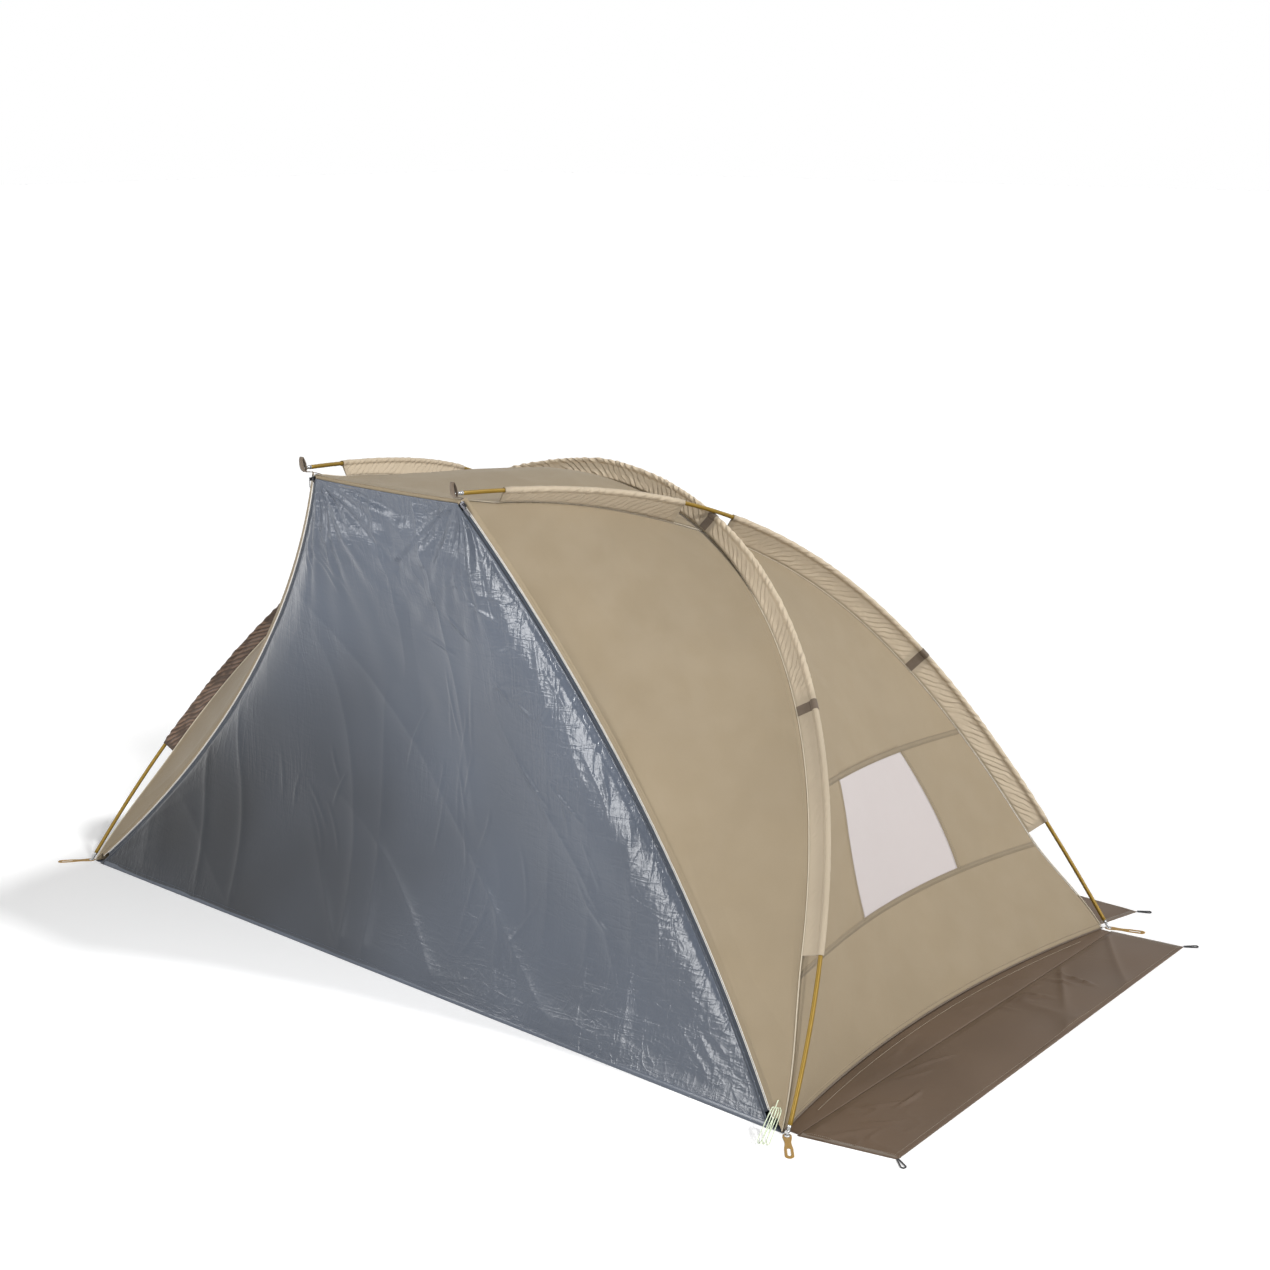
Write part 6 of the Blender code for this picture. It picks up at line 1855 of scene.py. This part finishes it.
def side_piping(side, sign):
    radius = cloth_settings().piping_radius
    for name, line, start, short, lift, thick in (
            ("leg", hoop_leg_seam, 0.02, 0.004, (0.0012, -0.0006, 0.0), radius),
            ("ridge", ridge_rear_seam, 0.03, 0.004, (0.0012, 0.0006, 0.0006), radius),
            ("roof_edge", ridge_front_seam, 0.005, 0.01, (0.0006, 0.0, 0.0010), 0.0012)):
        piping(f"{name}_piping_{side}", line, start, line.length - short, sign, lift, thick)


def door_seams():
    cloth = CLOTHS["door"]
    across, down = evenly(500, 0.004, 0.996), evenly(260, 0.004, 0.998)
    for side, edge in (("right", 0.0026), ("left", 1 - 0.0026)):
        # Dark binding strips, partly real tape and partly painted shade of the rolled edge
        hem(f"door_binding_{side}", cloth, edge, down, 0.004, "door binding", 0.0006)
    hem("door_foot_hem", cloth, across, 0.9945, NARROW_SEAM_WIDTH, "coated door", 0.0003, 0.0005)
    stitch_rows("door_stitches", cloth, [(across, 0.986), (0.0060, down), (1 - 0.0060, down)],
                "door thread", 0.0009)


def flap_seams():
    """Hems and stitches of both folding flaps, and a row of stitches along the fixed skirt."""
    flap, rear = CLOTHS["side flap"], CLOTHS["rear flap"]
    along, inner = evenly(300, 0.004, 0.996), evenly(80, 0.02, 0.98)
    hem("side_flap_outer_hem", flap, 0.975, along, FLAP_HEM_WIDTH, "sand flap cloth", 0.0006)
    for end, v in (("front", 0.006), ("rear", 0.994)):
        hem(f"side_flap_{end}_hem", flap, inner, v, FLAP_HEM_WIDTH, "brown webbing", 0.0006)
    stitch_rows("side_flap_stitches", flap,
                [(0.945, along), (0.990, along), (inner, 0.0105), (inner, 0.9895)], "thread", 0.0009)
    row = hem_point(evenly(260, 0.09, 0.91)) + (0.028, 0.0, 0.0030)
    made = repeated("skirt_stitches", [row], bead("skirt stitch", 0.0030, 0.0012, 0.0007), 0.0044,
                    UP, finish("piping"))
    ride(made, "tent", slot="sand_flap")
    across, deep = evenly(460, 0.004, 0.996), evenly(60, 0.02, 0.98)
    hem("rear_flap_outer_hem", rear, across, 0.965, FLAP_HEM_WIDTH, "sand flap cloth", 0.0006)
    for k, u in enumerate((0.003, 0.997)):
        hem(f"rear_flap_end_hem_{k + 1}", rear, u, deep, FLAP_HEM_WIDTH, "brown webbing", 0.0006)
    stitch_rows("rear_flap_stitches", rear,
                [(across, 0.92), (across, 0.14), (0.0055, deep), (0.9945, deep)], "thread", 0.0009)


def rear_seams():
    cloth, top = CLOTHS["rear"], CLOTHS["roof"]
    across = evenly(420, 0.006, 0.994)
    rows = []
    for k, row in enumerate(REAR_SEAM_SHARES):
        hem(f"rear_seam_{k + 1}", cloth, across, row, NARROW_SEAM_WIDTH, "canopy cloth")
        rows += [(across, row - 0.0035), (across, row + 0.0035)]
    hem("rear_hem", cloth, across, 0.994, HEM_WIDTH, "canopy cloth")
    stitch_rows("rear_stitches", cloth, [*rows, (across, 0.987)], "thread", 0.0008)
    hem("roof_front_hem", top, across, 0.016, NARROW_SEAM_WIDTH, "canopy cloth")
    stitch_rows("roof_stitches", top, [(across, 0.027), (across, 0.975)], "thread", 0.0008)


def lip(name, points, radius, up):
    made = tube(name, points, radius, 10, finish("brown webbing"), up)
    ride(made, "tent", slot="sand_flap")


def hem_lips():
    """Brown piping over the groundsheet's edge along each side and the back."""
    edge = hem_point(evenly(260, 0.004, 0.996)) + (0.0024, 0.0, 0.0006)
    for side, sign in SIDES:
        lip(f"hem_lip_{side}", sided(edge, sign), 0.0019, (1.0, 0.0, 0.0))
    x, y, _ = hem_point(np.array(1.0))
    back = np.stack([evenly(120, -x, x), np.full(120, y + 0.0016), np.full(120, 0.0016)], axis=-1)
    lip("hem_lip_rear", back, 0.0015, (0.0, 1.0, 0.0))


def make_seams():
    hem_lips()
    for side, sign in SIDES:
        wall_seams(side)
        wing_seams(side)
        side_piping(side, sign)
    door_seams()
    flap_seams()
    rear_seams()


# Stage


def ray_share(tree):
    """1 for rays from the camera and for those that metal and glass send on."""
    path = add_node(tree, "ShaderNodeLightPath").outputs
    first = add_node(tree, "ShaderNodeMath",
                     {0: path["Is Camera Ray"], 1: path["Is Glossy Ray"]}, operation="MAXIMUM")
    return add_node(tree, "ShaderNodeMath", {0: first.outputs[0], 1: path["Is Transmission Ray"]},
                    operation="MAXIMUM").outputs[0]


FLOOR_GLOW = 0.20


def floor_material(base):
    made = bpy.data.materials.new("pale floor")
    made.use_nodes = True
    tree = made.node_tree
    tree.nodes.clear()
    matt = add_node(tree, "ShaderNodeBsdfDiffuse", {"Color": (*base, 1.0)})
    strength = add_node(tree, "ShaderNodeMath", {0: ray_share(tree), 1: FLOOR_GLOW},
                        operation="MULTIPLY")
    light = add_node(tree, "ShaderNodeEmission", {"Strength": strength.outputs[0]})
    both = add_node(tree, "ShaderNodeAddShader", {0: matt.outputs[0], 1: light.outputs[0]})
    add_node(tree, "ShaderNodeOutputMaterial", {"Surface": both.outputs[0]})
    return made


def pale_world(strength):
    world = bpy.data.worlds.new("pale studio")
    world.use_nodes = True
    tree = world.node_tree
    back = tree.nodes["Background"]
    back.inputs["Color"].default_value = (1.0, 1.0, 1.0, 1.0)
    amount = add_node(tree, "ShaderNodeMapRange",
                      {"Value": ray_share(tree), "To Min": strength, "To Max": 1.0})
    tree.links.new(amount.outputs[0], back.inputs["Strength"])
    bpy.context.scene.world = world


# Each sun's name, strength, direction and spread in degrees, and whether glossy pieces mirror it
SUNS = (("high light", 2.10, (-0.60, -0.30, -0.74), 6.0, True),
        ("right light", 1.20, (-0.80, 0.28, -0.53), 5.0, True),
        ("left light", 0.32, (0.75, 0.60, -0.25), 9.0, False))
# Lamps before the door, which its glossy cloth mirrors: power, place, target, length, width and
# the way that the length runs
NEAR_LIGHTS = ((15.0, (0.27, -2.00, 0.92), (0.55, -0.65, 0.75), 1.00, 0.55, (-0.55, 0.0, 0.83)),
               (4.0, (-1.00, -2.05, 0.95), (0.2, -0.65, 0.65), 0.45, 0.45, (0.0, 0.0, 1.0)))


def lamp(name, kind, power):
    data = bpy.data.lights.new(name, kind)
    data.energy = power
    return placed(name, data)


def sun(name, strength, direction, spread, mirrored):
    made = lamp(name, "SUN", strength)
    made.data.angle = math.radians(spread)
    made.rotation_euler = Vector(direction).to_track_quat("-Z", "Y").to_euler()
    made.visible_glossy = mirrored


def near_light(power, place, target, length, width, along):
    made = lamp("near light", "AREA", power)
    made.data.shape = "RECTANGLE"
    made.data.size = width
    made.data.size_y = length
    made.location = place
    back = (Vector(place) - Vector(target)).normalized()
    aside = Vector(along).cross(back).normalized()
    made.rotation_euler = Matrix((aside, back.cross(aside), back)).transposed().to_euler()
    made.visible_camera = False


def make_camera():
    data = bpy.data.cameras.new("camera")
    data.sensor_width = 36.0
    data.lens = FOCAL_PIXELS / PHOTO_SIZE * data.sensor_width
    data.shift_y = SHIFT_PIXELS / PHOTO_SIZE
    camera = placed("camera", data)
    camera.location = CAMERA_PLACE
    camera.rotation_euler = CAMERA_TURN
    bpy.context.scene.camera = camera


def make_stage():
    settings = bpy.context.scene.tent_stage
    bpy.ops.mesh.primitive_plane_add(size=90.0)
    floor = bpy.context.object
    floor.name = "floor"
    floor.data.materials.append(floor_material(settings.floor_colour))
    pale_world(settings.sky_strength)
    for name, strength, *rest in SUNS:
        sun(name, strength * settings.key_strength, *rest)
    for power, *rest in NEAR_LIGHTS:
        near_light(power * settings.key_strength, *rest)
    make_camera()
    bpy.context.scene.view_settings.view_transform = "Standard"


# Operators and panel


class TentOperator:
    """What every operator here shares."""

    bl_options = {"REGISTER", "UNDO"}


class TENT_OT_stage(TentOperator, bpy.types.Operator):
    """Adds the floor, the lights and the camera"""

    bl_idname = "tent.stage"
    bl_label = "Stage"

    def execute(self, context):
        make_stage()
        return {"FINISHED"}


class TENT_OT_cords(TentOperator, bpy.types.Operator):
    """Adds the elastic loops and the folded guy line"""

    bl_idname = "tent.cords"
    bl_label = "Cords"

    def execute(self, context):
        make_cords()
        return {"FINISHED"}


class TENT_OT_poles(TentOperator, bpy.types.Operator):
    """Adds the hoop pole, both ridge poles and their tips"""

    bl_idname = "tent.poles"
    bl_label = "Poles"

    def execute(self, context):
        make_poles()
        return {"FINISHED"}


class TENT_OT_canopy(TentOperator, bpy.types.Operator):
    """Adds the roof, the walls, the wings and the windows"""

    bl_idname = "tent.canopy"
    bl_label = "Canopy"

    def execute(self, context):
        make_canopy()
        return {"FINISHED"}


class TENT_OT_door(TentOperator, bpy.types.Operator):
    """Adds the coated door"""

    bl_idname = "tent.door"
    bl_label = "Door"

    def execute(self, context):
        make_door()
        return {"FINISHED"}


class TENT_OT_ground(TentOperator, bpy.types.Operator):
    """Adds the groundsheet, the skirt and the sand flaps"""

    bl_idname = "tent.ground"
    bl_label = "Groundsheet and flaps"

    def execute(self, context):
        make_ground()
        return {"FINISHED"}


class TENT_OT_sleeves(TentOperator, bpy.types.Operator):
    """Adds the gathered pole sleeves and the bands over them"""

    bl_idname = "tent.sleeves"
    bl_label = "Sleeves and bands"

    def execute(self, context):
        make_sleeves()
        return {"FINISHED"}


class TENT_OT_webbing(TentOperator, bpy.types.Operator):
    """Adds the tip tabs and the corner straps"""

    bl_idname = "tent.webbing"
    bl_label = "Tabs and straps"

    def execute(self, context):
        make_webbing()
        return {"FINISHED"}


class TENT_OT_zips(TentOperator, bpy.types.Operator):
    """Adds the zips' tapes and teeth"""

    bl_idname = "tent.zips"
    bl_label = "Zips"

    def execute(self, context):
        make_zips()
        return {"FINISHED"}


class TENT_OT_seams(TentOperator, bpy.types.Operator):
    """Adds the seams, hems, piping and stitches"""

    bl_idname = "tent.seams"
    bl_label = "Seams and stitches"

    def execute(self, context):
        make_seams()
        return {"FINISHED"}


OPERATORS = (TENT_OT_stage, TENT_OT_cords, TENT_OT_poles, TENT_OT_canopy, TENT_OT_door,
             TENT_OT_ground, TENT_OT_sleeves, TENT_OT_webbing, TENT_OT_zips, TENT_OT_seams)


class TENT_PT_panel(bpy.types.Panel):
    """Lists the tent's settings and pieces"""

    bl_label = "Beach tent"
    bl_idname = "TENT_PT_panel"
    bl_space_type = "VIEW_3D"
    bl_region_type = "UI"
    bl_category = "Tent"

    def draw(self, context):
        for group in (context.scene.tent_cloth, context.scene.tent_trim, context.scene.tent_stage):
            box = self.layout.box()
            for key in group.bl_rna.properties.keys():
                if key not in ("rna_type", "name"):
                    box.prop(group, key)
        for operator in OPERATORS:
            self.layout.operator(operator.bl_idname)


SETTINGS = {"tent_cloth": TentClothSettings, "tent_trim": TentTrimSettings,
            "tent_stage": TentStageSettings}


def register():
    for kind in (*SETTINGS.values(), *OPERATORS, TENT_PT_panel):
        bpy.utils.register_class(kind)
    for key, kind in SETTINGS.items():
        setattr(bpy.types.Scene, key, bpy.props.PointerProperty(type=kind))


def unregister():
    for key in SETTINGS:
        delattr(bpy.types.Scene, key)
    for kind in (TENT_PT_panel, *reversed(OPERATORS), *SETTINGS.values()):
        bpy.utils.unregister_class(kind)


def main():
    register()
    bpy.ops.tent.stage()
    bpy.ops.tent.cords()
    bpy.ops.tent.poles()
    bpy.ops.tent.canopy()
    bpy.ops.tent.door()
    bpy.ops.tent.ground()
    bpy.ops.tent.sleeves()
    bpy.ops.tent.webbing()
    bpy.ops.tent.zips()
    bpy.ops.tent.seams()


if __name__ == "__main__":
    main()
